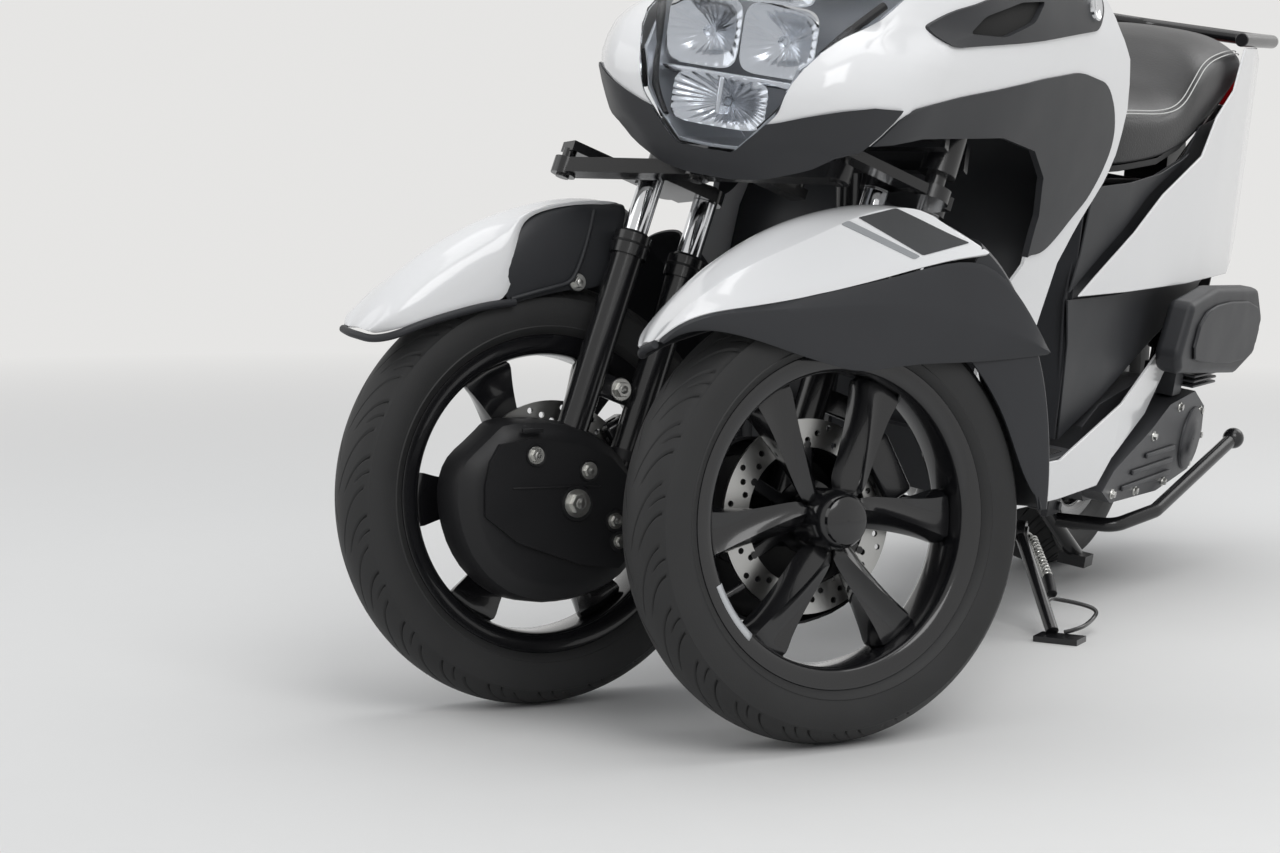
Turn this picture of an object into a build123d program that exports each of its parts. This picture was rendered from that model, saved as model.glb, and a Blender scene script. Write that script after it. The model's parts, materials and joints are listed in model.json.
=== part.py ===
from build123d import *
import os
from math import atan, cos, degrees, hypot, pi, radians, sin, sqrt, tan

os.makedirs("parts", exist_ok=True)

# Vehicle layout, mm, upright: forward is -Y, the rider's left is +X, the ground is z = 0
WHEELBASE = 1350.0
TRACK = 385.0
FRONT_R, FRONT_W = 249.8, 90.0
REAR_R, REAR_W = 256.1, 130.0
CASTER = 20.0
TRAIL = 68.0
KINGPIN_X = 172.0
TUBE_X = 118.0
LEAN = 8.6
STEER = 35.0
HALF_TRACK = TRACK / 2
# The rear parts are drawn with their axle at AXLE_Y and then moved back by AFT
AFT = WHEELBASE - 1350.0
AXLE_Y = WHEELBASE - AFT
SEAM = 0.5
SEATED = 0.3

# Steering axis: the same lean for the two kingpins and the handlebar column
UP = Vector(0, sin(radians(CASTER)), cos(radians(CASTER)))
AXIS_Y = FRONT_R * tan(radians(CASTER)) - TRAIL
ARM_TILT = degrees(atan(tan(radians(LEAN)) / cos(radians(CASTER))))


def kingpin_y(z):
    return AXIS_Y + (z - FRONT_R) * tan(radians(CASTER))


# Small helpers
def cyl(p, q, r):
    p, q = Vector(*p), Vector(*q)
    stand = (Align.CENTER, Align.CENTER, Align.MIN)
    return Plane(origin=p, z_dir=q - p) * Cylinder(r, (q - p).length, align=stand)


def block(lo, hi):
    size = [b - a for a, b in zip(lo, hi)]
    mid = [(a + b) / 2 for a, b in zip(lo, hi)]
    return Pos(*mid) * Box(*size)


def pipe(points, r, bend=0.0):
    """Round bar along straight legs, with bends of the given radius."""
    line = FilletPolyline(*points, radius=bend) if bend else Polyline(*points)
    start = Plane(origin=line @ 0, z_dir=line % 0)
    return sweep(start * Circle(r), path=line, transition=Transition.RIGHT)


def join(*solids):
    whole = solids[0]
    for s in solids[1:]:
        whole = whole + s
    return whole


def side_cut(profile, half=600.0, at=0.0):
    """Prism along X over a side-view outline of (y, z) points."""
    face = make_face(Polyline(*[(at - half, y, z) for y, z in profile], close=True))
    return extrude(face, amount=2 * half, dir=(1, 0, 0))


def thicken(points, t):
    """Closed outline of an open line of 2-D points, t thick on its right-hand side."""
    inner = []
    for i, (a, b) in enumerate(points):
        before = points[max(i - 1, 0)]
        after = points[min(i + 1, len(points) - 1)]
        legs = []
        for p, q in ((before, (a, b)), ((a, b), after)):
            d = hypot(q[0] - p[0], q[1] - p[1])
            if d > 1e-6:
                legs.append(((q[1] - p[1]) / d, -(q[0] - p[0]) / d))
        n = (sum(v[0] for v in legs) / len(legs), sum(v[1] for v in legs) / len(legs))
        k = max(n[0] ** 2 + n[1] ** 2, 0.4)
        inner.append((a + n[0] * t / k, b + n[1] * t / k))
    return list(points) + inner[::-1]


def ruled(outlines):
    return loft([make_face(Polyline(*o, close=True)) for o in outlines], ruled=True)


def mirrored(half):
    """Whole plan outline from its left half, whose first point lies on the centre plane."""
    return [(-x, y) for x, y in half[:0:-1]] + list(half)


def level_skin(levels, t):
    """Shell open at its back, lofted through plan outlines [(z, [(x, y), ...]), ...]."""
    return ruled([[(x, y, z) for x, y in thicken(mirrored(half), -t)] for z, half in levels])


def both(solid):
    return [solid, mirror(solid, Plane.YZ)]


# Turned profiles of the wheels
def turned(points, x=0.0, y=0.0, z=0.0):
    """Ring round an axle along X, from (offset, radius) points."""
    face = make_face(Polyline(*[(a, 0, r) for a, r in points], close=True))
    return Pos(x, y, z) * revolve(face, axis=Axis.X)


def tyre(radius, width, seat_r):
    """Tyre section: a round crown, bulged walls and a flat bead seat."""
    h = width / 2
    wall = radius - seat_r
    crown = ThreePointArc((-0.92 * h, 0, radius - 0.42 * h), (0, 0, radius), (0.92 * h, 0, radius - 0.42 * h))
    right = ThreePointArc((0.92 * h, 0, radius - 0.42 * h), (h, 0, seat_r + 0.5 * wall), (0.7 * h, 0, seat_r + 10))
    base = Polyline((0.7 * h, 0, seat_r + 10), (0.7 * h, 0, seat_r), (-0.7 * h, 0, seat_r),
                    (-0.7 * h, 0, seat_r + 10))
    left = ThreePointArc((-0.7 * h, 0, seat_r + 10), (-h, 0, seat_r + 0.5 * wall), (-0.92 * h, 0, radius - 0.42 * h))
    return revolve(make_face([crown, right, base, left]), axis=Axis.X)


SPOKE_PAIRS = (-58.5, 61.5, 181.5)
SPOKE_SPREAD = 32.5


def spoke(r0, r1, twist):
    """Blade: a thin ridge at the hub that turns into a broad flat face at the rim."""
    sections = []
    for r, across, deep, shift, lift in ((r0, 20, 22, 8, 4), (0.5 * (r0 + r1), 20, 24, 3, 2), (r1, 46, 26, 0, 0)):
        y0 = twist * shift
        sections.append([(lift - deep / 2, y0 - across / 2, r), (lift + deep / 2, y0 - across * 0.36, r),
                         (lift + deep / 2, y0 + across * 0.36, r), (lift - deep / 2, y0 + across / 2, r)])
    return ruled(sections)


def rim(seat_r, bead_w, hub_w, hub_r, bore_r):
    """Cast rim: barrel with two flanges, six blades in three pairs and a hub bored for its axle."""
    b = bead_w / 2
    barrel = turned([(-b - 4, seat_r - 12), (-b - 4, seat_r + 9), (-b, seat_r + 9), (-b, seat_r - 0.05),
                     (b, seat_r - 0.05), (b, seat_r + 9), (b + 4, seat_r + 9), (b + 4, seat_r - 12),
                     (b - 8, seat_r - 14), (-b + 8, seat_r - 14)])
    hub = Rot(0, 90, 0) * Cylinder(hub_r, hub_w)
    blades = []
    for middle in SPOKE_PAIRS:
        for side in (-1, 1):
            one = spoke(hub_r - 6, seat_r - 8, side)
            blades.append(Rot(middle + side * SPOKE_SPREAD, 0, 0) * one)
    whole = join(barrel, hub, *blades)
    return whole - Rot(0, 90, 0) * Cylinder(bore_r, hub_w + 80)


def disc(outer, inner, thick, bore_r):
    """Brake disc on five carrier arms."""
    ring = Rot(0, 90, 0) * (Cylinder(outer, thick) - Cylinder(inner, thick + 2))
    hub = Rot(0, 90, 0) * Cylinder(bore_r + 12, thick)
    arms = [Rot(72 * i, 0, 0) * block((-thick / 2, -9, bore_r + 4), (thick / 2, 9, inner + 6)) for i in range(5)]
    return join(ring, hub, *arms) - Rot(0, 90, 0) * Cylinder(bore_r, 80)


AXLE_R = 10.0
FRONT_SEAT_R = 178.0
REAR_SEAT_R = 165.0
FRONT_HUB_W = 76.0
REAR_HUB_W = 110.0
DISC_T = 4.0


def disc_offset(hub_w):
    return (hub_w + DISC_T) / 2 + SEATED


def front_wheel(side):
    here = Pos(side * HALF_TRACK, 0, FRONT_R)
    flip = Rot(0, 0, 0 if side > 0 else 180)
    body = rim(FRONT_SEAT_R, 63.2, FRONT_HUB_W, 31, AXLE_R + 0.05)
    cap = Pos(40, 0, 0) * Rot(0, 90, 0) * (Cylinder(27, 10) - Pos(0, 0, -4) * Cylinder(AXLE_R + 2, 10))
    return {
        "tyre_front_" + NAME[side]: here * flip * tyre(FRONT_R, FRONT_W, FRONT_SEAT_R),
        "rim_front_" + NAME[side]: here * flip * (body + cap),
        "disc_front_" + NAME[side]: here * flip * Pos(-disc_offset(FRONT_HUB_W), 0, 0)
        * disc(110, 78, DISC_T, AXLE_R + 20),
    }


NAME = {1: "left", -1: "right"}

# Fender outlines by angle from straight up, positive to the front:
# (angle, ridge radius, outer edge radius, skirt's lower radius)
FENDER = (
    (52, 300, 296, 276),
    (42, 303, 284, 262),
    (30, 311, 268, 226),
    (18, 321, 254, 190),
    (5, 338, 252, 166),
    (-10, 357, 270, 166),
    (-24, 365, 312, 182),
    (-36, 363, 346, 212),
)
# Rear flap: (angle, outer radius)
FLAP = ((-36, 363), (-46, 346), (-58, 324), (-74, 297), (-89, 282))


def radial(angle, points, side):
    """Section in the plane through the axle at an angle, from (offset, radius) points."""
    a = radians(angle)
    return [(side * (HALF_TRACK + d), -r * sin(a), FRONT_R + r * cos(a)) for d, r in points]


def radial_skin(rows, t, side):
    return ruled([radial(a, thicken(points, t), side) for a, points in rows])


def fender(side):
    rows = [(a, [(-54, top - 34), (-44, top - 12), (-12, top), (16, top - 2), (36, 0.6 * top + 0.4 * edge),
                 (56, edge)]) for a, top, edge, low in FENDER]
    return radial_skin(rows, 3, side)


def fender_skirt(side):
    """Dark lower half of the fender: outer panel, inner panel and the rear flap as one moulding."""
    outer = [(a, [(56.6, edge - 2.5), (62, 0.75 * edge + 0.25 * low), (60, 0.4 * edge + 0.6 * low), (55.5, low)])
             for a, top, edge, low in FENDER]
    inner = [(a, [(-50, 0.6 * top + 60), (-51.5, top - 60), (-51, top - 35.6)]) for a, top, edge, low in FENDER[4:]]
    flap = []
    for a, r in FLAP:
        inside = max(r - 130, 246 if a < -50 else 212)
        wide = 56 - 10 * (-36 - a) / -53
        flap.append((a, [(-50, r - 30), (-44, r - 8), (0, r), (44, r - 6), (wide, r - 28), (wide, inside)]))
    panel = radial_skin(outer, 3, side)
    return [panel, radial_skin(inner, 3, side), radial_skin(flap, 3, side)]


FENDER_COLLAR_R = 22.6
TUBE_FOOT = 5.2
YOKE_Z = 614.0
STEER_ARM = 125.0
ROD_DROP = 25.0


def steering_arm(middle):
    """Plate from a steering shaft forward to its ball post, which points down into the tie rod."""
    level = Plane(origin=middle, x_dir=(1, 0, 0), z_dir=UP)
    plate = level * Pos(0, -STEER_ARM / 2 + 4, 0) * Box(30, STEER_ARM + 18, 12)
    return plate + level * Pos(0, -STEER_ARM, -ROD_DROP / 2 - 8) * Cylinder(8, ROD_DROP + 10)


def fork(side):
    """Kingpin, tandem tubes, steering arm and the axle lug, one welded and clamped unit."""
    x_tube, x_pin = side * TUBE_X, side * KINGPIN_X
    parts = []
    for dy in (-36, 36):
        top, mid, low = [(x_tube, kingpin_y(z) + dy, z - dy * tan(radians(CASTER)))
                         for z in (YOKE_Z + 10, 520, FRONT_R + TUBE_FOOT)]
        parts += [cyl(mid, top, 14), cyl(low, mid, 19)]
        parts.append(cyl(tuple(Vector(*mid) - UP * 6), tuple(Vector(*mid) + UP * 20), FENDER_COLLAR_R))
    pin_foot = Vector(x_pin, kingpin_y(YOKE_Z), YOKE_Z)
    level = Plane(origin=pin_foot, x_dir=(1, 0, 0), z_dir=UP)
    clamp_x, clamp_y = side * (TUBE_X - KINGPIN_X), 36 / cos(radians(CASTER))
    yoke = join(level * Pos(clamp_x / 2, 0, 0) * Box(abs(clamp_x), 64, 16),
                level * Pos(clamp_x, 0, 0) * Box(40, 2 * clamp_y, 16), level * Cylinder(22, 16),
                *[level * Pos(clamp_x, dy, 0) * Cylinder(20, 16) for dy in (-clamp_y, clamp_y)])
    pin = cyl(tuple(pin_foot), tuple(pin_foot + UP * 150), 12)
    lug_mid = kingpin_y(FRONT_R + TUBE_FOOT)
    lug = block((x_tube - 20, lug_mid - 63, FRONT_R - 34), (x_tube + 20, lug_mid + 27, FRONT_R + 22))
    axle = cyl((x_tube, 0, FRONT_R), (side * (HALF_TRACK + 38), 0, FRONT_R), AXLE_R)
    return join(*parts, yoke, steering_arm(pin_foot), pin, lug, axle)


def hub_cover(side):
    """Faceted cover over the inner side of the hub and the fork feet."""
    outline = [(-160, 238), (-150, 290), (-118, 325), (-40, 340), (40, 322), (88, 268), (92, 190), (70, 150),
               (0, 128), (-70, 134), (-128, 172)]
    rows = []
    for x, k in ((-26, 1.0), (14, 0.97), (32, 0.8)):
        rows.append([(side * (TUBE_X - x), -34 + (y + 34) * k, 236 + (z - 236) * k) for y, z in outline])
    shell = ruled(rows)
    inside = []
    for x, k in ((-27, 0.95), (10, 0.92), (27, 0.76)):
        inside.append([(side * (TUBE_X - x), -34 + (y + 34) * k, 236 + (z - 236) * k) for y, z in outline])
    cover = shell - ruled(inside)
    for dy in (-36, 36):
        low, high = [(side * TUBE_X, kingpin_y(z) + dy, z - dy * tan(radians(CASTER))) for z in (226, 440)]
        cover -= cyl(low, high, 19 + SEATED)
    return cover


def tie_rod():
    """Bar between the two steering arms, level like the lean arms, with an eye on each arm's post."""
    a, b = Vector(*BALL[1]), Vector(*BALL[-1])
    along = (b - a).normalized()
    square = (UP_WORLD - along * along.dot(UP_WORLD)).normalized()
    eyes = [Plane(origin=p, z_dir=UP_WORLD) for p in (a, (a + b) * 0.5, b)]
    rod = Plane(origin=(a + b) * 0.5, x_dir=along, z_dir=square) * Box((b - a).length, 24, 18)
    return join(rod, *[eye * Cylinder(15, 20) for eye in eyes]) - [eye * Cylinder(8.05, 60) for eye in eyes]


# Body shell, plan outlines from the centre to the rear edge: (height, [(x, y), ...])
LEVELS = (
    (300, [(0, 296), (60, 300), (130, 316), (184, 350), (204, 410), (206, 500)]),
    (440, [(0, 180), (60, 186), (120, 226), (190, 330), (212, 400), (214, 470)]),
    (560, [(0, -20), (30, -18), (60, 0), (150, 140), (208, 340), (222, 500)]),
    (632, [(0, -62), (34, -60), (72, -44), (156, 60), (214, 340), (230, 560)]),
    (663, [(0, -84), (40, -82), (94, -62), (174, 72), (220, 350), (234, 590)]),
    (700, [(0, -94), (72, -88), (128, -68), (190, 96), (226, 370), (237, 612)]),
    (760, [(0, -96), (98, -82), (146, -66), (200, 119), (230, 400), (238, 624)]),
    (823, [(0, -44), (132, 20), (160, 56), (206, 170), (228, 420), (236, 604)]),
    (870, [(0, 8), (146, 80), (168, 110), (204, 220), (222, 420), (226, 548)]),
    (930, [(0, 78), (122, 116), (150, 150), (184, 240), (200, 360), (204, 450)]),
    (985, [(0, 150), (90, 168), (122, 192), (152, 250), (166, 330), (168, 390)]),
)
SHELL_T = 4.0

# Side views, (y, z)
DARK_BAND = ((-200, 560), (-200, 722), (-85, 726), (40, 764), (119, 768), (300, 786), (440, 800), (540, 786),
             (592, 752), (600, 718), (562, 650), (478, 590), (430, 572), (385, 574), (382, 620))
OPEN_FRONT = ((-300, 200), (-300, 628), (-66, 632), (-20, 690), (60, 702), (230, 712), (330, 698), (378, 660),
              (392, 600), (384, 560), (352, 520), (346, 440), (356, 350), (380, 290), (380, 200))
# Front view of the chin's edge and of the lens, (x, z)
CHIN_EDGE = ((60, 632), (92, 644), (132, 674), (196, 702), (260, 702), (260, 500), (0, 500), (0, 632))
LENS = ((0, 662), (34, 663), (60, 688), (82, 712), (90, 740), (98, 760), (114, 790), (134, 823), (146, 862),
        (96, 884), (40, 878), (0, 872))


def front_prism(half, y0, y1):
    face = make_face(Polyline(*[(x, y0, z) for x, z in mirrored_xz(half)], close=True))
    return extrude(face, amount=y1 - y0, dir=(0, 1, 0))


def mirrored_xz(half):
    right = [(-x, z) for x, z in half if x > 0]
    return list(half) + right[::-1]


def grown(outline, d):
    """Outline pushed outward from its middle, for a clear seam."""
    mx = sum(x for x, z in outline) / len(outline)
    mz = sum(z for x, z in outline) / len(outline)
    rows = []
    for x, z in outline:
        r = max(hypot(x - mx, z - mz), 1.0)
        rows.append((x + d * (x - mx) / r if x > 0 else 0, z + d * (z - mz) / r))
    return rows


def body_shell():
    shell = level_skin(LEVELS, SHELL_T)
    shell -= side_cut(OPEN_FRONT)
    edge = make_face(Polyline(*[(x, -300, z) for x, z in CHIN_EDGE], close=True))
    chin = extrude(edge, amount=330, dir=(0, 1, 0))
    return shell - chin - mirror(chin, Plane.YZ)


def nose_core(t, back):
    """Solid inside the shell's nose, ending at a plane."""
    rows = []
    for z, half in LEVELS[3:10]:
        line = [(x, y) for x, y in half[:4]]
        inner = thicken(mirrored(line), -t)[len(mirrored(line)):][::-1]
        rows.append([(x, y, z) for x, y in inner] + [(inner[-1][0], 260, z), (inner[0][0], 260, z)])
    return ruled(rows) & block((-300, -300, 500), (300, back, 1100))


def head_parts():
    shell = body_shell()
    window = front_prism(LENS, -200, 130)
    lens = shell & window
    opened = shell - front_prism(grown(LENS, SEAM), -200, 130)
    dark = opened & side_cut(DARK_BAND)
    light = opened - side_cut(DARK_BAND) - side_cut([(y, z + SEAM) for y, z in DARK_BAND]) \
        - side_cut([(y + SEAM, z) for y, z in DARK_BAND])
    bowl = nose_core(SHELL_T + SEATED, 96) & front_prism(grown(LENS, -3), -200, 130)
    hollow = Pos(0, -4, 0) * (nose_core(SHELL_T + 2, 92) & front_prism(grown(LENS, -7), -200, 130))
    return {"headlight_lens": lens, "lower_cowl": dark, "front_cowl": light, "headlight_housing": bowl - hollow}


SCREEN_T = 3.0
SCREEN_GAP = 0.8
SCREEN_FOOT_Z = 896.0


def windscreen():
    """Screen whose foot lies on the shell's front facet."""
    rows = []
    for z, half in LEVELS[-3:]:
        (x0, y0), (x1, y1) = half[:2]
        line = mirrored([(x0 + (x1 - x0) * k, y0 + (y1 - y0) * k) for k in (0, 0.35, 0.7, 0.97)])
        outer = thicken(line, SCREEN_T + SCREEN_GAP)[len(line):][::-1]
        rows.append((z, outer[len(outer) // 2:]))
    rows += [(1080, [(0, 172), (50, 178), (76, 188), (94, 200)]),
             (1196, [(0, 206), (40, 211), (58, 218), (72, 228)])]
    return level_skin(rows, SCREEN_T) - block((-300, -100, 800), (300, 400, SCREEN_FOOT_Z))


FLOOR_Z = 276.0
SILL_T = 4.0
FRAME_Z = 216.0
RAIL_X = 112.0
RAIL_R = 14.0
SHIELD = [(z, half[-1][0] - SHELL_T - SEAM, half[-1][1] - 2,
           26 * (half[-1][0] - half[-2][0]) / (half[-1][1] - half[-2][1])) for z, half in LEVELS]
SILL = ((430, 300), (520, 282), (755 + AFT, 272), (1006 + AFT, 331), (1170 + AFT, 387), (1400 + AFT, 463),
        (1392 + AFT, 444), (1170 + AFT, 300), (1000 + AFT, 250), (948 + AFT, 214), (775 + AFT, 214), (560, 222),
        (450, 258))
SILL_ROWS = ((420, 194, 194), (1006 + AFT, 193, 191), (1410 + AFT, 168, 164))
SILL_SPAN = (min(z for y, z in SILL) - 14.0, max(z for y, z in SILL) + 7.0)
FLOOR_BACK = 838.0 + AFT


def floor_and_leg_shield():
    rows = []
    for z, w, y, slope in SHIELD:
        y = max(y, 452) if z < 500 else y
        v = w - slope
        rows.append([(w, y, z), (v, y - 26, z), (0.55 * w, y - 72, z), (-0.55 * w, y - 72, z), (-v, y - 26, z),
                     (-w, y, z), (-0.6 * w, y - 48, z), (0.6 * w, y - 48, z)])
    shield = ruled(rows)
    wide = side_half(SILL_ROWS, FLOOR_BACK, FLOOR_Z, SILL_SPAN) - SILL_T - SEATED
    floor = block((-wide, 452, FLOOR_Z - 20), (wide, FLOOR_BACK, FLOOR_Z))
    front = block((-150, 400, FLOOR_Z - 20), (150, 460, 330))
    ribs = [block((s * RAIL_X - 10, 500, FRAME_Z + RAIL_R + SEATED), (s * RAIL_X + 10, FLOOR_BACK - 8, FLOOR_Z - 10))
            for s in (-1, 1)]
    return join(shield, floor, front, *ribs) - block((-300, 200, 964), (300, 600, 1100))


def side_half(rows, y, z, span):
    """Outer half width of a bowed side panel at a point of its side view."""
    inside = [i for i, row in enumerate(rows[:-1]) if row[0] <= y]
    (y0, l0, h0), (y1, l1, h1) = rows[inside[-1] if inside else 0:][:2]
    k, m = (y - y0) / (y1 - y0), (z - span[0]) / (span[1] - span[0])
    return (l0 + (l1 - l0) * k) * (1 - m) + (h0 + (h1 - h0) * k) * m


UPPER_SIDE = ((884, 640), (1010, 650), (1130, 664), (1220, 686), (1250, 697), (1247, 692), (1098, 634), (836, 492),
              (860, 545))
LOWER_SIDE = ((832, 482), (846, 420), (844, 284), (1008, 336), (1172, 392), (1398, 468), (1486, 499))
TAIL_SIDE = ((838, 489), (1500, 506), (1600, 520), (1690, 600), (1726, 790), (1700, 846), (1560, 872), (1440, 868),
             (1400, 800), (1312, 756), (1250, 696), (1100, 636))


SIDE_SPAN = (min(z for y, z in LOWER_SIDE) - 34.0, max(z for y, z in TAIL_SIDE) + 28.0)
PANEL_ROWS = ((800, 158, 96), (1000, 164, 134), (1250, 160, 152), (1550, 156, 140))
PANEL_T = 3.0
TAIL_ROWS = ((800, 168, 110), (1000, 184, 150), (1250, 200, 164), (1500, 196, 156), (1640, 164, 130),
             (1740, 104, 84))
TAIL_T = 4.0


def swept_side(profile, rows, t, span):
    """Panel with a bowed plan: rows of (y, half width low, half width high), cut to a side view."""
    low, high = span
    skin = ruled([[(wl, y, low), (wh, y, high), (wh - t, y, high), (wl - t, y, low)] for y, wl, wh in rows])
    return both(skin & side_cut(profile))


def side_sills():
    return swept_side(SILL, SILL_ROWS, SILL_T, SILL_SPAN)


def under_seat_panels():
    upper = swept_side(UPPER_SIDE, PANEL_ROWS, PANEL_T, SIDE_SPAN)
    lower = swept_side(LOWER_SIDE, PANEL_ROWS, PANEL_T, SIDE_SPAN)
    rows = []
    for y, z in ((FLOOR_BACK - AFT, 284), (864, 616)):
        w = side_half(PANEL_ROWS, y, z, SIDE_SPAN) - PANEL_T - SEATED
        rows.append([(-w, y, z), (w, y, z), (w, y + 4, z), (-w, y + 4, z)])
    return [*upper, *lower, ruled(rows)]


def tail_covers():
    return swept_side(TAIL_SIDE, TAIL_ROWS, TAIL_T, SIDE_SPAN)


# Seat, cross-sections by y: (y, half width, base height, side top, crown height)
SEAT = (
    (872, 62, 654, 700, 728),
    (912, 96, 652, 740, 770),
    (1010, 128, 662, 752, 780),
    (1130, 146, 676, 756, 780),
    (1220, 150, 700, 778, 800),
    (1290, 150, 726, 840, 866),
    (1400, 148, 770, 858, 884),
    (1540, 132, 816, 862, 888),
    (1640, 96, 838, 858, 876),
)
SEAT_PIVOT = (0.0, 884.0, 640.0)
SEAT_BASE = 10.0


def seat_cushion():
    return ruled([[(-w, y, b + SEAT_BASE), (-w - 4, y, 0.4 * b + 0.6 * s), (-w + 16, y, s), (-0.5 * w, y, c - 4),
                   (0.5 * w, y, c - 4), (w - 16, y, s), (w + 4, y, 0.4 * b + 0.6 * s), (w, y, b + SEAT_BASE)]
                  for y, w, b, s, c in SEAT])


def seat_pan():
    top = SEAT_BASE - SEATED
    plate = ruled([[(-w + 6, y, b), (-w + 6, y, b + top), (w - 6, y, b + top), (w - 6, y, b)]
                   for y, w, b, s, c in SEAT])
    ear = block((-30, SEAT_PIVOT[1] - 10, 630), (30, SEAT_PIVOT[1] + 10, 662))
    return join(plate, ear) - cyl((-60, SEAT_PIVOT[1], SEAT_PIVOT[2]), (60, SEAT_PIVOT[1], SEAT_PIVOT[2]), 6.05)


TUB_BACK = 1206.0
TUB_OVER_TYRE = 32.1
TUB = ((-96, 950, REAR_R + sqrt(REAR_R ** 2 - (AXLE_Y - TUB_BACK) ** 2) + TUB_OVER_TYRE), (96, TUB_BACK, 648))


def storage_tub():
    (x0, y0, z0), (x1, y1, z1) = TUB
    tub = block((x0, y0, z0), (x1, y1, z1)) - block((x0 + 3, y0 + 3, z0 + 3), (x1 - 3, y1 - 3, z1 + 10))
    lip = block((x0 - 6, y0 - 6, z1 - 6), (x1 + 6, y1 + 6, z1))
    return tub + (lip - block((x0 + 3, y0 + 3, z0), (x1 - 3, y1 - 3, z1 + 1)))


HEAD_Z = (646.0, 792.0)
COLUMN_R = 13.0


def on_column(z, x=0.0):
    return Vector(x, kingpin_y(z), z)


CROSS_R = 10.0
BOSS_GAP = 1.1
CROSS_FRONT = (926.0, 443.0)
CROSS_TUB = (TUB[1][1] + CROSS_R + SEATED, 592.6)
CROSS_TAIL = (1540.0, 750.0)


BEAM_Y = 462.0


def rail(s, r):
    """Side rail, drawn with the rear parts."""
    return pipe([(s * RAIL_X, BEAM_Y - AFT, FRAME_Z), (s * RAIL_X, 860, FRAME_Z), (s * 116, 920, 440),
                 (s * 116, 1250, 610), (s * 106, 1560, 760)], r, 40)


def rear_frame():
    """Rails, cross tubes, bosses and the seat hinge's posts, drawn with the rear parts."""
    rails = [rail(s, RAIL_R) for s in (-1, 1)]
    cross = [cyl((-116, y, z), (116, y, z), CROSS_R) for y, z in (CROSS_FRONT, CROSS_TUB)]
    cross.append(cyl((-108, *CROSS_TAIL), (108, *CROSS_TAIL), CROSS_R))
    bosses = []
    for y, z, r, rows, t in ((960, 460.6, 6, PANEL_ROWS, PANEL_T), (1200, 584, 8, TAIL_ROWS, TAIL_T),
                             (1480, 721.3, 8, TAIL_ROWS, TAIL_T)):
        for s in (-1, 1):
            bosses.append(cyl((s * 108, y, z), (s * (side_half(rows, y, z, SIDE_SPAN) - t - BOSS_GAP), y, z), r))
    for s in (-1, 1):
        out = side_half(PANEL_ROWS, 1000, 615, SIDE_SPAN) - PANEL_T - BOSS_GAP
        bosses.append(pipe([(s * 116, 1000, 481), (s * 116, 1000, 615), (s * out, 1000, 615)], 5, 8))
    hinge_post = [block((s * 39 - 5, SEAT_PIVOT[1] - 9, 630), (s * 39 + 5, SEAT_PIVOT[1] + 9, 648))
                  + cyl((s * 39, 920, 446), (s * 39, *SEAT_PIVOT[1:]), 5) for s in (-1, 1)]
    hinge_pin = cyl((-44, SEAT_PIVOT[1], SEAT_PIVOT[2]), (44, SEAT_PIVOT[1], SEAT_PIVOT[2]), 6)
    return [*rails, *cross, *bosses, *hinge_post, hinge_pin]


def main_frame():
    head = cyl(tuple(on_column(HEAD_Z[0])), tuple(on_column(HEAD_Z[1])), 24)
    spine = pipe([(0, 206, 722), (0, 300, 690), (0, 342, 560), (0, 352, FRAME_Z), (0, BEAM_Y + 8, FRAME_Z)], 16, 36)
    front_beam = cyl((-RAIL_X, BEAM_Y, FRAME_Z), (RAIL_X, BEAM_Y, FRAME_Z), 16)
    rear = [Pos(0, AFT, 0) * s for s in rear_frame()]
    pivot = Vector(*SIDE_PIVOT)
    stand_lug = join(block((104, SIDE_PIVOT[1] - 25, 134), (118, SIDE_PIVOT[1] + 21, 216)),
                     cyl(tuple(pivot - SIDE_AXIS * 24), tuple(pivot + SIDE_AXIS * 12), 7))
    pivots = [cyl(tuple(on_column(z) - ACROSS * 52), tuple(on_column(z) + ACROSS * 52), 11) for z in ARM_Z]
    whole = join(head, spine, front_beam, *rear, stand_lug, *pivots)
    return whole - cyl(tuple(on_column(HEAD_Z[0] - 40)), tuple(on_column(HEAD_Z[1] + 40)), COLUMN_R + 0.05)


# Lean linkage: two arms across the head, each carried on a fore-and-aft pivot, and a housing at each end
ACROSS = Vector(0, cos(radians(CASTER)), -sin(radians(CASTER)))
ARM_Z = (668.0, 768.0)
HOUSING_R = 22.0


def knuckle(side, lift=0.0):
    """Shift of a kingpin when the arms lie level in the leaned chassis, plus a lift along the kingpin."""
    a = radians(ARM_TILT)
    return Vector(side * KINGPIN_X * (cos(a) - 1), 0, 0) + UP * (side * KINGPIN_X * sin(a) + lift)


def lean_linkage():
    a = radians(ARM_TILT)
    along = Vector(cos(a), UP.Y * sin(a), UP.Z * sin(a))
    arms, houses = [], []
    for z in ARM_Z:
        for front in (-1, 1):
            middle = on_column(z) + ACROSS * (front * 38)
            level = Plane(origin=middle, x_dir=along, z_dir=ACROSS)
            arm = level * Box(2 * KINGPIN_X + 30, 34, 14) - level * Cylinder(11.05, 40)
            for end in (-1, 1):
                arm -= level * Pos(end * KINGPIN_X, 0, 0) * Cylinder(9.05, 40)
            arms.append(arm)
    for side in (-1, 1):
        shift = knuckle(side)
        low, high = on_column(636, side * KINGPIN_X) + shift, on_column(772, side * KINGPIN_X) + shift
        tube = cyl(tuple(low), tuple(high), HOUSING_R)
        for z in ARM_Z:
            eye = on_column(z, side * KINGPIN_X) + shift
            tube += cyl(tuple(eye - ACROSS * 50), tuple(eye + ACROSS * 50), 9)
        houses.append(tube - cyl(tuple(low - UP * 5), tuple(high + UP * 5), 12.05))
    return arms + houses


BAR_R = 11.0
GRIP_R = 16.0
GRIP_IN = (248.0, 363.8, 1034.8)
GRIP_END = (352.0, 398.0, 1012.0)


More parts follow.
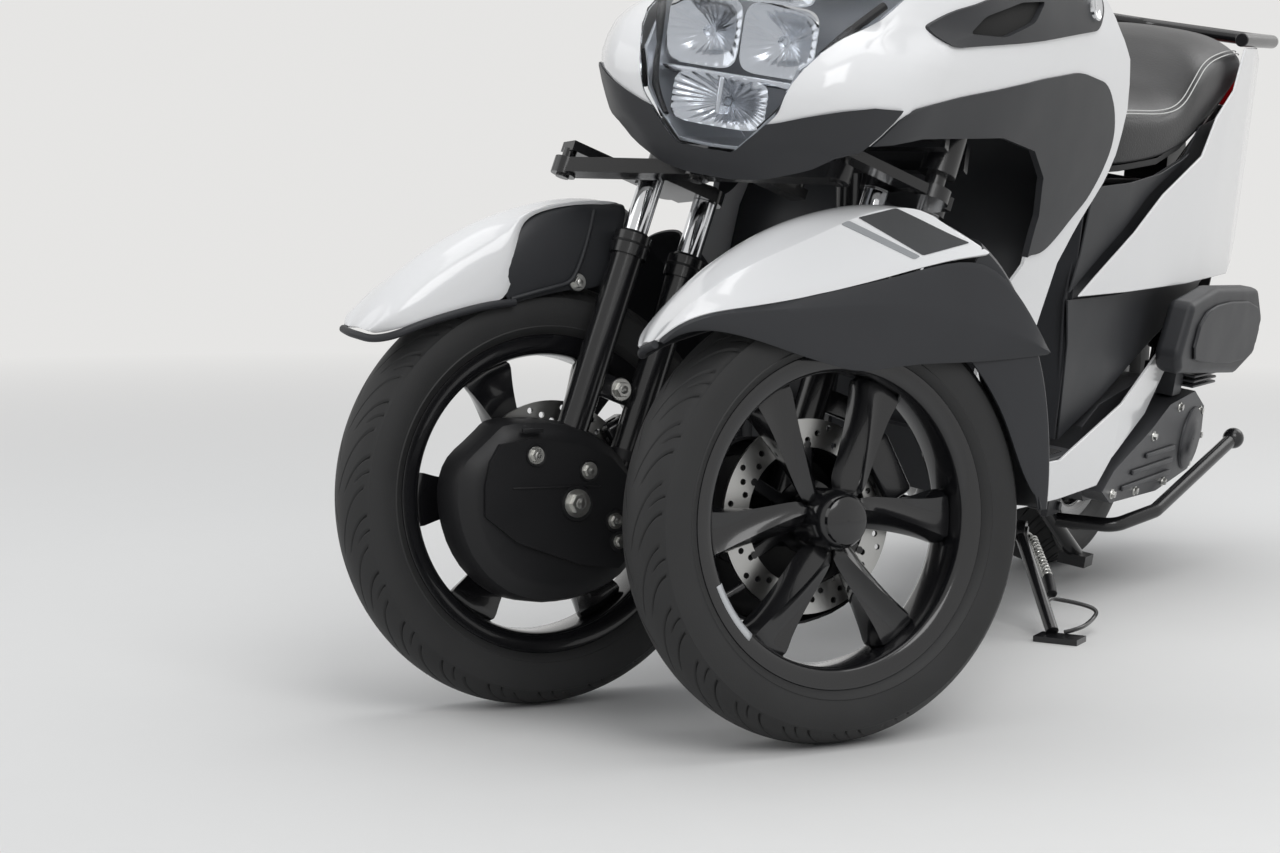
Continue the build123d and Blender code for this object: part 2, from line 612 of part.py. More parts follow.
def bar_path(r):
    end_x, *end = GRIP_END
    return pipe([(-end_x, *end), (-206, 350, 1044), (-90, 298, 1010), (90, 298, 1010), (206, 350, 1044),
                 (end_x, *end)], r, 30)


def handlebar():
    low, high = on_column(YOKE_Z - 6), on_column(1010)
    column = cyl(tuple(low), tuple(high), COLUMN_R) + steering_arm(on_column(YOKE_Z))
    bar = bar_path(BAR_R)
    grips = [cyl((s * GRIP_IN[0], *GRIP_IN[1:]), (s * GRIP_END[0], *GRIP_END[1:]), GRIP_R) for s in (-1, 1)]
    switches = [block((s * 214 - 24, 334, 1020), (s * 214 + 24, 378, 1062)) for s in (-1, 1)]
    levers = [pipe([(s * 222, 336, 1040), (s * 250, 306, 1034), (s * 350, 328, 1010)], 5, 10) for s in (-1, 1)]
    return join(column, bar, *grips, *switches, *levers)


def handlebar_cover():
    cover = ruled([[(-w, f, z), (w, f, z), (w * 0.9, b, z), (-w * 0.9, b, z)]
                   for z, w, f, b in ((1014, 104, 254, 340), (1046, 112, 250, 356), (1082, 84, 256, 352))])
    inner = ruled([[(-w, f, z), (w, f, z), (w * 0.9, b, z), (-w * 0.9, b, z)]
                   for z, w, f, b in ((1012, 100, 259, 335), (1046, 107, 255, 351), (1076, 80, 262, 346))])
    return cover - inner - bar_path(BAR_R + SEATED)


def mirrors():
    sides = []
    for s in (-1, 1):
        stem = pipe([(s * 226, 352, 1062 + SEATED), (s * 226, 352, 1082), (s * 250, 322, 1116), (s * 300, 300, 1136)],
                    6, 12)
        head = Plane(origin=(s * 312, 296, 1150), x_dir=(s, 0, 0.2), z_dir=(0, 1, -0.1)) * Box(122, 78, 26)
        sides.append(stem + head)
    return sides


ENGINE = ((-88, 900, 176), (84, 1074, 428))
SHOCK_LOW = 350.0


def engine_block():
    block_ = block(*ENGINE)
    arm = side_cut(((1040, 200), (1040, 300), (1360, 290), (1424, SHOCK_LOW), (1456, SHOCK_LOW), (1450, 320),
                    (1384, 250), (1350, 232)), half=8, at=-92)
    arm += block((-122, 1424, SHOCK_LOW - 24), (-92, 1456, SHOCK_LOW))
    saddles = [block((s * 40 - 9, 912, 420), (s * 40 + 9, 940, 443)) - cyl((-60, *CROSS_FRONT), (60, *CROSS_FRONT),
                                                                          CROSS_R + SEATED) for s in (-1, 1)]
    boss = block((-100, 1040, 200), (-80, 1080, 300))
    y, z = CENTRE_PIVOT[1:]
    stand_lugs = [block((-84, 1040, z + 10), (80, 1064, 180)), block((-99, 1040, z + 6), (99, 1064, z + 20))]
    stand_lugs += [block((s * 94 - 5, 1040, z - 12), (s * 94 + 5, y + 12, z + 20)) for s in (-1, 1)]
    pin = cyl((-104, y, z), (104, y, z), 7)
    bore = cyl((-160, AXLE_Y, REAR_R), (0, AXLE_Y, REAR_R), AXLE_R + 0.05)
    return join(block_, arm, boss, *saddles, *stand_lugs, pin) - bore


BELT = ((934, 296), (948, 214), (1010, 176), (1250, 168), (1420, 186), (1472, 240), (1456, 300), (1380, 332),
        (1180, 346), (1000, 324))


BELT_COVER = ((962, 204), (1012, 182), (1250, 174), (1416, 192), (1464, 242), (1448, 294), (1376, 324), (1244, 312),
              (1165, 280), (1004, 232))


def belt_case():
    case = side_cut(BELT, half=37, at=123) + side_cut(BELT_COVER, half=20, at=179)
    neck = block((84.3, 1000, 220), (90, 1070, 300))
    axle = cyl((90, AXLE_Y, REAR_R), (-104, AXLE_Y, REAR_R), AXLE_R)
    shock_lug = block((96, 1424, 290), (120, 1456, SHOCK_LOW))
    air_stay = block((150, 1286, 320), (AIR_X - AIR_HALF - SEATED, 1330, 370))
    return join(case, axle, shock_lug, air_stay)


AIR_X = 209.0
AIR_HALF = 21.0
AIR_BOX = ((1130, 400), (1160, 480), (1300, 498), (1540, 490), (1598, 440), (1586, 376), (1490, 350), (1250, 366),
           (1150, 372))


def air_cleaner_box():
    return side_cut(AIR_BOX, half=AIR_HALF, at=AIR_X)


def rear_shocks():
    shocks = []
    for s in (-1, 1):
        foot = cyl((s * 108, 1440, SHOCK_LOW + SEATED), (s * 108, 1440, 384), 10)
        body = cyl((s * 108, 1440, 376), (s * 108, 1400, 560), 17)
        rod = cyl((s * 108, 1400, 560), (s * 108, 1378, 672), 8)
        shocks.append(join(foot, body, rod) - rail(s, RAIL_R + SEATED))
    return shocks


def muffler():
    can = cyl((-170, 1130, 226), (-182, 1600, 360), 52)
    header = pipe([(-56, 930, ENGINE[0][2] - SEATED), (-56, 930, 130), (-150, 1060, 160), (-170, 1138, 228)], 15, 20)
    stay = block((-130, 1250, 250), (-100 - SEATED, 1290, 276))
    return join(can, header, stay)


PLATE_AT = (0.0, 1732.0, 420.0)
PLATE_FACE = (0, 1, -0.12)


def rear_fender():
    hugger = side_cut(((1560, 470), (1600, 520), (1700, 590), (1712, 586), (1728, 440), (1718, 438), (1640, 500)),
                      half=80)
    inner = side_cut(((1540, 440), (1600, 510), (1690, 574), (1704, 570), (1716, 420), (1640, 480)), half=76)
    plate = Plane(origin=PLATE_AT, x_dir=(1, 0, 0), z_dir=PLATE_FACE) * Box(190, 150, 6)
    bracket = block((-40, 1700, 470), (40, 1738, 484))
    neck = side_cut(((1592, 516), (1690, 575), (1640, 700), (1562, 764), (1528, 764), (1528, 742)), half=36)
    neck -= cyl((-60, *CROSS_TAIL), (60, *CROSS_TAIL), CROSS_R + SEATED)
    whole = join(hugger - inner, plate, bracket, neck)
    for x in (-70, 70):
        hole = Plane(origin=(x, PLATE_AT[1], PLATE_AT[2]), x_dir=(1, 0, 0), z_dir=PLATE_FACE) * Pos(0, -50, 0)
        whole -= hole * Cylinder(3.5, 40)
    return whole


def tail_lamp():
    rows = []
    for y, z0, z1 in ((1700, 770, 840), (1726, 776, 830), (1738, 780, 826)):
        low, high = [side_half(TAIL_ROWS, y, z, SIDE_SPAN) - TAIL_T - SEATED for z in (z0, z1)]
        rows.append([(-low, y, z0), (low, y, z0), (high, y, z1), (-high, y, z1)])
    return ruled(rows)


GRAB_R = 11.0


def grab_rail():
    top = max(z for y, z in TAIL_SIDE)
    front, back = top - 4 + GRAB_R + SEAM, top + GRAB_R + SEAM + 3
    return pipe([(-150, 1440, front), (-150, 1640, back), (-90, 1712, back), (90, 1712, back), (150, 1640, back),
                 (150, 1440, front)], GRAB_R, 50)


# Stands
SIDE_PIVOT = (134.0, 815.0 + AFT, 150.0)
SIDE_AXIS = Vector(1, 0.175, 0.1).normalized()
CENTRE_PIVOT = (0.0, 1084.0, 146.0)


def side_stand(place):
    """Leg from its pivot to a flat foot on the ground, drawn in the world."""
    top = place * Pos(*SIDE_PIVOT)
    p = top.position
    foot = Vector(252, SIDE_PIVOT[1] - 119, 0)
    ankle = foot + Vector(-6, 4, 12)
    leg = cyl((p.X, p.Y, p.Z), tuple(ankle), 9)
    pivot = Vector(*SIDE_PIVOT)
    hub = place * cyl(tuple(pivot - SIDE_AXIS * 9), tuple(pivot + SIDE_AXIS * 9), 15)
    bore = place * cyl(tuple(pivot - SIDE_AXIS * 30), tuple(pivot + SIDE_AXIS * 30), 7.05)
    plate = Pos(foot.X + 6, foot.Y, 4) * Box(62, 40, 8)
    return join(leg, hub, plate) - bore


def centre_stand():
    y, z = CENTRE_PIVOT[1:]
    tube = cyl((-87, y, z), (87, y, z), 13)
    legs = [pipe([(s * 70, y, z), (s * 104, y + 120, z - 90)], 12) for s in (-1, 1)]
    feet = [block((s * 106 - 22, y + 100, z - 106), (s * 106 + 22, y + 140, z - 88)) for s in (-1, 1)]
    lever = pipe([(82, y + 42, z - 30), (176, y + 54, z - 20), (214, y + 130, z + 4), (248, y + 380, z + 100)],
                 11, 34)
    end = Pos(250, y + 386, z + 103) * Sphere(17)
    return join(tube, *legs, *feet, lever, end) - cyl((-200, y, z), (200, y, z), 7.05)


# Placing
def crown_drop(radius, width, tilt):
    """Height of a leaned wheel's centre over flat ground."""
    h = width / 2
    rc = (0.92 ** 2 + 0.42 ** 2) * h / (2 * 0.42)
    return (radius - rc) * cos(radians(tilt)) + rc


LIFT = crown_drop(REAR_R, REAR_W, LEAN) - REAR_R * cos(radians(LEAN))
CHASSIS = Pos(0, 0, LIFT) * Rot(0, LEAN, 0)
UP_WORLD = Vector(UP.Z * sin(radians(LEAN)), UP.Y, UP.Z * cos(radians(LEAN)))


def turned_fork(side):
    """Place of a fork: turned about its kingpin, moved with its arm end, and set down on the ground."""
    axis = Axis((side * KINGPIN_X, AXIS_Y, FRONT_R), tuple(UP))
    spin = Pos(*axis.position) * Location(Plane(origin=(0, 0, 0), x_dir=(1, 0, 0), z_dir=UP)) \
        * Rot(0, 0, -STEER) * Location(Plane(origin=(0, 0, 0), x_dir=(1, 0, 0), z_dir=UP)).inverse() \
        * Pos(*(axis.position * -1))
    level = CHASSIS * Pos(*knuckle(side)) * spin
    hub = (level * Pos(side * HALF_TRACK, 0, FRONT_R)).position
    out = (level * Pos(side * HALF_TRACK + 1, 0, FRONT_R)).position - hub
    tilt = degrees(pi / 2 - abs(pi / 2 - abs(atan(out.Z / hypot(out.X, out.Y)))))
    lift = (crown_drop(FRONT_R, FRONT_W, tilt) - hub.Z) / UP_WORLD.Z
    return CHASSIS * Pos(*knuckle(side, lift)) * spin


FORK = {side: turned_fork(side) for side in (-1, 1)}
BALL = {}
for side in (-1, 1):
    centre = on_column(YOKE_Z, side * KINGPIN_X) - ACROSS * STEER_ARM - UP * ROD_DROP
    BALL[side] = tuple((FORK[side] * Pos(*centre)).position)


def assembly():
    """Every node with its solids, in the world with the ground at z = 0."""
    front = {
        "main_frame": main_frame(), "lean_linkage": lean_linkage(), **head_parts(), "windscreen": windscreen(),
        "floor_and_leg_shield": floor_and_leg_shield(), "side_sills": side_sills(),
    }
    hub = Pos(0, AXLE_Y, REAR_R)
    rear = {
        "under_seat_panels": under_seat_panels(), "tail_covers": tail_covers(), "storage_tub": storage_tub(),
        "grab_rail": grab_rail(), "tail_lamp": tail_lamp(), "rear_fender": rear_fender(),
        "engine_block": engine_block(), "belt_case": belt_case(), "air_cleaner_box": air_cleaner_box(),
        "rear_shocks": rear_shocks(), "muffler": muffler(), "seat_pan": seat_pan(),
        "seat_cushion": seat_cushion(), "centre_stand": centre_stand(),
        "tyre_rear": hub * tyre(REAR_R, REAR_W, REAR_SEAT_R),
        "rim_rear": hub * rim(REAR_SEAT_R, 91.2, REAR_HUB_W, 40, AXLE_R + 0.05),
        "disc_rear": hub * Pos(-disc_offset(REAR_HUB_W), 0, 0) * disc(115, 84, DISC_T, AXLE_R + 20),
    }
    nodes = {}
    for place, group in ((CHASSIS, front), (CHASSIS * Pos(0, AFT, 0), rear)):
        for name, solid in group.items():
            nodes[name] = [place * s for s in (solid if isinstance(solid, list) else [solid])]
    column = Axis(tuple((CHASSIS * Pos(0, AXIS_Y, FRONT_R)).position), tuple(UP_WORLD))
    for name, solid in (("handlebar", handlebar()), ("handlebar_cover", handlebar_cover()), ("mirrors", mirrors())):
        solids = solid if isinstance(solid, list) else [solid]
        nodes[name] = [(CHASSIS * s).rotate(column, -STEER) for s in solids]
    for side in (-1, 1):
        ride = {**front_wheel(side), "fork_" + NAME[side]: fork(side), "hub_cover_" + NAME[side]: hub_cover(side),
                "fender_" + NAME[side]: fender(side), "fender_skirt_" + NAME[side]: fender_skirt(side)}
        for name, solid in ride.items():
            nodes[name] = [FORK[side] * s for s in (solid if isinstance(solid, list) else [solid])]
    nodes["tie_rod"] = [tie_rod()]
    nodes["side_stand"] = [side_stand(CHASSIS)]
    return nodes


NODES = assembly()
SHAPES = {name: Compound(children=[s for part in solids for s in part.solids()]) for name, solids in NODES.items()}
BOXES = [shape.bounding_box() for shape in SHAPES.values()]
CENTRE = [(min(b.min.X for b in BOXES) + max(b.max.X for b in BOXES)) / 2,
          (min(b.min.Y for b in BOXES) + max(b.max.Y for b in BOXES)) / 2]
HOME = Pos(-CENTRE[0], -CENTRE[1], -min(b.min.Z for b in BOXES))

for name, shape in SHAPES.items():
    export_step(HOME * shape, "parts/" + name + ".step")
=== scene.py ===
import json
import math

import bmesh
import bpy
from mathutils import Matrix, Vector


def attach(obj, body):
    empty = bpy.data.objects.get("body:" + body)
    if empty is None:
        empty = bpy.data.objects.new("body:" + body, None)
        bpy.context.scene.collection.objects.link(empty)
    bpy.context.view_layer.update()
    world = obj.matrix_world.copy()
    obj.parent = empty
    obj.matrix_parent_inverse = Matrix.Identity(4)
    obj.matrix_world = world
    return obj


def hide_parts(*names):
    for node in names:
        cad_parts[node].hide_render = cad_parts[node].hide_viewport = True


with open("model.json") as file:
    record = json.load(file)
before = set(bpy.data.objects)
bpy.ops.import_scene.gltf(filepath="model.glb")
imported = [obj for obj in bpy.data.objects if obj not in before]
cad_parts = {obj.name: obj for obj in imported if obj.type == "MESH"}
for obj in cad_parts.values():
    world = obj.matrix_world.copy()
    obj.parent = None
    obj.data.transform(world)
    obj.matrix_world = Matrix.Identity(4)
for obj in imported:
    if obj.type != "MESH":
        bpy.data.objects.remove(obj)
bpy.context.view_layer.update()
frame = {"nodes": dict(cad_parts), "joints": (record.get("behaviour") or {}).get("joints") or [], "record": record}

MM = 0.001
JOINT = {j["name"]: j for j in frame["joints"]}
SLOT = {s["node"]: s["material_slot"] for s in frame["record"]["subparts"]}
BODY = {n: b for b, nodes in frame["record"]["behaviour"]["bodies"].items() for n in nodes}

# Layout, mm, upright: forward is -Y, the rider's left is +X, the ground is z = 0
WHEELBASE = 1350.0
HALF_TRACK = 192.5
FRONT_R, FRONT_W = 249.8, 90.0
REAR_R, REAR_W = 256.1, 130.0
FRONT_SEAT_R, REAR_SEAT_R = 178.0, 165.0
FRONT_HUB_W, REAR_HUB_W = 76.0, 110.0
DISC_OUT = 2.3      # from a hub's face to the middle of its disc
CASTER = math.radians(20.0)
TRAIL = 68.0
STEER = math.radians(35.0)
TUBE_X = 118.0      # a fork's tubes, from the centre plane
TANDEM = 36.0       # each tube before or behind the kingpin's line


# Frames of the moving groups, from the joints
def axes(x, y, z, local, world):
    """Matrix from millimetres of a group's own upright frame to the row frame."""
    turn = Matrix((x, y, z)).transposed().to_4x4() @ Matrix.Scale(MM, 4)
    return Matrix.Translation(Vector(world) - turn @ Vector(local)) @ turn


def chassis_frame():
    """Frame of the leaned chassis, from the rear axle."""
    x = Vector(JOINT["wheel_rear_spin"]["axis"]).normalized()
    y = Vector((0, 1, 0))
    return axes(x, y, x.cross(y), (0, WHEELBASE, REAR_R), JOINT["wheel_rear_spin"]["pos_m"])


def fork_frame(side):
    """Frame of one turned fork, from its axle and the steering axis."""
    spin = JOINT["wheel_front_%s_spin" % SIDE_NAME[side]]
    x = Vector(spin["axis"]).normalized()
    up = Vector(JOINT["steering_turn"]["axis"]).normalized()
    back = up.cross(x)
    y = back * math.cos(CASTER) + up * math.sin(CASTER)
    return axes(x, y, x.cross(y), (side * HALF_TRACK, 0, FRONT_R), spin["pos_m"])


SIDE_NAME = {1: "left", -1: "right"}
CHASSIS = chassis_frame()
FORK = {side: fork_frame(side) for side in (1, -1)}
COLUMN = Vector(JOINT["steering_turn"]["pos_m"])
STEERED = (Matrix.Translation(COLUMN) @ Matrix.Rotation(-STEER, 4, Vector(JOINT["steering_turn"]["axis"]))
           @ Matrix.Translation(-COLUMN) @ CHASSIS)
FRONT_WHEEL = {side: FORK[side] @ Matrix.Translation((side * HALF_TRACK, 0, FRONT_R))
               @ Matrix.Rotation(0 if side > 0 else math.pi, 4, "Z") for side in (1, -1)}
REAR_WHEEL = CHASSIS @ Matrix.Translation((0, WHEELBASE, REAR_R))
ROW = Matrix.Identity(4)


def on_fork(side, dy, z):
    """Point on a fork tube's line, at a kingpin height."""
    slope = math.tan(CASTER)
    return Vector((side * TUBE_X, z * slope - TRAIL + dy, z - dy * slope))


def polar(side, angle, offset, radius):
    """Point round a front axle: degrees from straight up, positive to the front."""
    a = math.radians(angle)
    return (side * (HALF_TRACK + offset), -radius * math.sin(a), FRONT_R + radius * math.cos(a))


# Camera at the photograph's viewing angle: metres, and pixels of the photograph
LENS_MM, SENSOR_MM = 68.58, 36
AZIMUTH, ELEVATION, ROLL = [math.radians(angle) for angle in (27.32, 7.90, 0.95)]
DISTANCE, AIM_HEIGHT = 2.7964, 0.25
AIM_PIXEL = (677.35, 503.82)
PHOTO_W, PHOTO_H = 1280, 853


def place_camera():
    """Camera on the middle of the front wheels, turned so that it shows at its pixel."""
    left, right = [Vector(JOINT["wheel_front_%s_spin" % n]["pos_m"]) for n in ("left", "right")]
    middle = (left + right) / 2
    aim = Vector((middle.x, middle.y, AIM_HEIGHT))
    out = Vector((math.sin(AZIMUTH) * math.cos(ELEVATION), -math.cos(AZIMUTH) * math.cos(ELEVATION),
                  math.sin(ELEVATION)))
    ahead = -out
    across = ahead.cross(Vector((0, 0, 1))).normalized()
    rows = Matrix((across, -across.cross(ahead), ahead))
    focal = LENS_MM / SENSOR_MM * PHOTO_W
    yaw = math.atan((AIM_PIXEL[0] - PHOTO_W / 2) / focal)
    pitch = math.atan((AIM_PIXEL[1] - PHOTO_H / 2) / focal)
    for angle, axis in ((yaw, "Y"), (-pitch, "X"), (ROLL, "Z")):
        rows = Matrix.Rotation(angle, 3, axis) @ rows
    data = bpy.data.cameras.new("camera")
    data.lens = LENS_MM
    data.sensor_width = SENSOR_MM
    camera = bpy.data.objects.new("camera", data)
    bpy.context.scene.collection.objects.link(camera)
    turn = Matrix((rows[0], -rows[1], -rows[2])).transposed()
    camera.matrix_world = Matrix.Translation(aim + out * DISTANCE) @ turn.to_4x4()
    bpy.context.scene.camera = camera


# Materials
def link(tree, a, out, b, into):
    """Joins one node's output to another's input."""
    tree.links.new(a.outputs[out], b.inputs[into])


def surface(name, colour, rough, metal=0.0, coat=0.0, vary=0.06, grain=0.0, grain_size=0.0006,
            rough_vary=0.08, specular=0.5, transmission=0.0, ior=1.45):
    """Principled finish with a little colour and gloss variation and a fine grain in its bump."""
    m = bpy.data.materials.new(name)
    m.use_nodes = True
    t = m.node_tree
    p = t.nodes["Principled BSDF"]
    for socket, value in (("Metallic", metal), ("Coat Weight", coat), ("Coat Roughness", 0.04),
                          ("Specular IOR Level", specular), ("Transmission Weight", transmission),
                          ("IOR", ior)):
        p.inputs[socket].default_value = value
    place = t.nodes.new("ShaderNodeTexCoord")
    cloud = t.nodes.new("ShaderNodeTexNoise")
    cloud.inputs["Scale"].default_value = 14.0
    cloud.inputs["Detail"].default_value = 6.0
    link(t, place, "Object", cloud, "Vector")
    tone = t.nodes.new("ShaderNodeMix")
    tone.data_type = "RGBA"
    tone.inputs["A"].default_value = [c * (1 - vary) for c in colour] + [1]
    tone.inputs["B"].default_value = [min(1, c * (1 + vary)) for c in colour] + [1]
    link(t, cloud, "Fac", tone, "Factor")
    link(t, tone, "Result", p, "Base Color")
    gloss = t.nodes.new("ShaderNodeMapRange")
    gloss.inputs["To Min"].default_value = max(0.02, rough - rough_vary)
    gloss.inputs["To Max"].default_value = min(1, rough + rough_vary)
    link(t, cloud, "Fac", gloss, "Value")
    link(t, gloss, "Result", p, "Roughness")
    if grain:
        fine = t.nodes.new("ShaderNodeTexNoise")
        fine.inputs["Scale"].default_value = 1 / grain_size / 2
        fine.inputs["Detail"].default_value = 2.0
        link(t, place, "Object", fine, "Vector")
        bump = t.nodes.new("ShaderNodeBump")
        bump.inputs["Strength"].default_value = grain
        bump.inputs["Distance"].default_value = grain_size * 0.4
        link(t, fine, "Fac", bump, "Height")
        link(t, bump, "Normal", p, "Normal")
    return m


# Finishes: colour, roughness, and what else the surface needs
MATERIAL = {name: surface(name, colour, rough, **more) for name, colour, rough, more in (
    ("white_paint", (0.80, 0.80, 0.80), 0.16, dict(coat=0.6, vary=0.01, rough_vary=0.03)),
    ("dark_grey_plastic", (0.030, 0.031, 0.034), 0.46, dict(vary=0.1, grain=0.35, specular=0.35)),
    ("black_plastic", (0.010, 0.010, 0.011), 0.42, dict(vary=0.12, grain=0.3, specular=0.35)),
    ("black_metal", (0.010, 0.010, 0.011), 0.24, dict(coat=0.3, vary=0.1, grain=0.08)),
    ("rim_black", (0.007, 0.007, 0.008), 0.2, dict(coat=0.5, vary=0.1, grain=0.05)),
    ("disc_steel", (0.48, 0.48, 0.47), 0.3, dict(metal=1.0, vary=0.08, grain=0.2)),
    ("tyre_rubber", (0.026, 0.026, 0.0262), 0.56, dict(vary=0.25, grain=0.5, grain_size=0.0009,
                                                       specular=0.35)),
    # Painted shade: a near-black, rough finish for tyre groove bottoms and the vent mesh, darker than their rubber
    # and plastic, in place of the shade in those recesses
    ("painted_shade_black", (0.005, 0.005, 0.005), 0.8, dict(vary=0.2)),
    ("clear_lens", (0.90, 0.92, 0.95), 0.03, dict(rough_vary=0.01, transmission=1.0, ior=1.12)),
    ("screen", (0.42, 0.44, 0.47), 0.04, dict(rough_vary=0.01, transmission=0.9, ior=1.1)),
    ("lamp_reflector", (0.62, 0.63, 0.65), 0.18, dict(metal=1.0, vary=0.08, rough_vary=0.06)),
    ("lamp_housing", (0.40, 0.41, 0.43), 0.32, dict(metal=0.6)),
    ("red_lens", (0.35, 0.005, 0.008), 0.12, dict(coat=0.6)),
    ("seat_leather", (0.020, 0.020, 0.021), 0.42, dict(vary=0.12, grain=0.8, grain_size=0.0016)),
    ("engine_grey", (0.055, 0.056, 0.06), 0.42, dict(metal=0.4, vary=0.12, grain=0.3)),
    ("mirror_black", (0.012, 0.012, 0.013), 0.14, dict(coat=0.6)),
    ("chrome", (0.70, 0.71, 0.73), 0.09, dict(metal=1.0, vary=0.05, rough_vary=0.04)),
    ("zinc", (0.56, 0.56, 0.54), 0.28, dict(metal=1.0, vary=0.15, grain=0.2)),
    ("mirror_glass", (0.86, 0.87, 0.88), 0.03, dict(metal=1.0, vary=0.01, rough_vary=0.01)),
    ("stitch", (0.62, 0.62, 0.6), 0.7, dict(vary=0.1)),
    # Painted highlight: pale grey for the lit arc on the front rims' lip
    ("painted_highlight_grey", (0.50, 0.51, 0.52), 0.3, dict(vary=0.05)),
    ("decal_grey", (0.30, 0.31, 0.32), 0.3, dict(coat=0.3, vary=0.04)),
    ("decal_dark", (0.035, 0.037, 0.04), 0.22, dict(coat=0.4, vary=0.3)),
)}


# Working meshes
def holder(bm):
    """Scratch object of a bmesh, which is freed."""
    mesh = bpy.data.meshes.new("scratch")
    bm.to_mesh(mesh)
    bm.free()
    o = bpy.data.objects.new("scratch", mesh)
    bpy.context.scene.collection.objects.link(o)
    return o


def applied(bm, kind, **settings):
    """bmesh after one modifier."""
    o = holder(bm)
    step = o.modifiers.new("step", kind)
    for key, value in settings.items():
        setattr(step, key, value)
    ready = o.evaluated_get(bpy.context.evaluated_depsgraph_get())
    mesh = bpy.data.meshes.new_from_object(ready)
    out = bmesh.new()
    out.from_mesh(mesh)
    scratch = o.data
    bpy.data.objects.remove(o)
    bpy.data.meshes.remove(scratch)
    bpy.data.meshes.remove(mesh)
    return out


def carved(bm, cutter, mode="DIFFERENCE"):
    """Boolean of two closed meshes, which are both freed."""
    tool = holder(cutter)
    out = applied(bm, "BOOLEAN", operation=mode, object=tool, solver="EXACT")
    mesh = tool.data
    bpy.data.objects.remove(tool)
    bpy.data.meshes.remove(mesh)
    return out


def finish_piece(name, bm, place, slot, body, replaces=(), smooth=40.0, bevel=0.0, subdiv=0, solid=0.0,
                 material=None, extra=(), segments=2):
    """Mesh in its own frame, mm, to a named piece in the row frame with its finish, modifiers and body."""
    bm.transform(place)
    limit = math.radians(smooth)
    for f in bm.faces:
        f.smooth = True
    for e in bm.edges:
        if not subdiv and len(e.link_faces) == 2 and e.calc_face_angle(0) > limit:
            e.smooth = False
    mesh = bpy.data.meshes.new(name)
    bm.to_mesh(mesh)
    bm.free()
    o = bpy.data.objects.new(name, mesh)
    bpy.context.scene.collection.objects.link(o)
    for key in (material or slot,) + tuple(extra):
        mesh.materials.append(MATERIAL[key])
    if subdiv:
        soft = o.modifiers.new("soft", "SUBSURF")
        soft.levels = soft.render_levels = subdiv
    if solid:
        wall = o.modifiers.new("wall", "SOLIDIFY")
        wall.thickness = solid * MM
        wall.offset = -1
    if bevel:
        edge = o.modifiers.new("edge", "BEVEL")
        edge.width = bevel * MM
        edge.segments = segments
        edge.limit_method = "ANGLE"
        edge.angle_limit = math.radians(35)
        edge.harden_normals = not subdiv
    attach(o, body)
    if replaces:
        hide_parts(*replaces)
    return o


def chassis_piece(name, bm, slot, **finish):
    """Piece of the chassis, from upright millimetres."""
    return finish_piece(name, bm, CHASSIS, slot, "chassis", **finish)


def fork_piece(side, name, bm, slot, **finish):
    """Piece of one side's fork, from that fork's upright millimetres."""
    return finish_piece(name, bm, FORK[side], slot, "fork_" + SIDE_NAME[side], **finish)


def cad_copy(node):
    """Merged copy of a node's mesh, in the row frame."""
    bm = bmesh.new()
    bm.from_mesh(frame["nodes"][node].data)
    bmesh.ops.remove_doubles(bm, verts=bm.verts, dist=2e-6)
    bmesh.ops.dissolve_limit(bm, angle_limit=math.radians(0.6), verts=bm.verts, edges=bm.edges)
    return bm


def dressed(node, bevel, segments, material):
    """Node with eased edges and smooth round faces."""
    finish_piece(node + "_dressed", cad_copy(node), ROW, SLOT[node], BODY[node], replaces=(node,),
                 bevel=bevel, smooth=32.0, material=material, segments=segments)


def loft(rows, closed=False, creased=(), caps=False):
    """Sheet of faces through rows of points, made by extruding the first row's edges from row to row."""
    bm = bmesh.new()
    hard = bm.edges.layers.float.new("crease_edge")
    line = [bm.verts.new(p) for p in rows[0]]
    pairs = list(zip(line, line[1:])) + ([(line[-1], line[0])] if closed else [])
    edges = [bm.edges.new(pair) for pair in pairs]
    for row in rows[1:]:
        made = bmesh.ops.extrude_edge_only(bm, edges=edges)["geom"]
        fresh = {g for g in made if isinstance(g, bmesh.types.BMVert)}
        step = []
        for v, p in zip(line, row):
            twin = next(e.other_vert(v) for e in v.link_edges if e.other_vert(v) in fresh)
            twin.co = p
            step.append(twin)
        for i in creased:
            bm.edges.get((line[i], step[i]))[hard] = 1.0
        line = step
        ring = list(zip(line, line[1:])) + ([(line[-1], line[0])] if closed else [])
        edges = [bm.edges.get(pair) for pair in ring]
    if caps:
        bmesh.ops.holes_fill(bm, edges=[e for e in bm.edges if e.is_boundary], sides=0)
    bmesh.ops.recalc_face_normals(bm, faces=bm.faces)
    return bm


def turn_out(bm, at, towards):
    """Points an open sheet's faces outward: near a place, they face a direction."""
    at, towards = Vector(at), Vector(towards)
    near = min(bm.faces, key=lambda f: (f.calc_center_median() - at).length)
    near.normal_update()
    if near.normal.dot(towards) < 0:
        bmesh.ops.reverse_faces(bm, faces=bm.faces)
    return bm


def cornered(outline):
    """Closed outline with its corners cut, for a round form."""
    cut = []
    for (ax, ay), (bx, by) in zip(outline, outline[1:] + outline[:1]):
        cut += [(k * ax + (1 - k) * bx, k * ay + (1 - k) * by) for k in (0.75, 0.25)]
    return cut


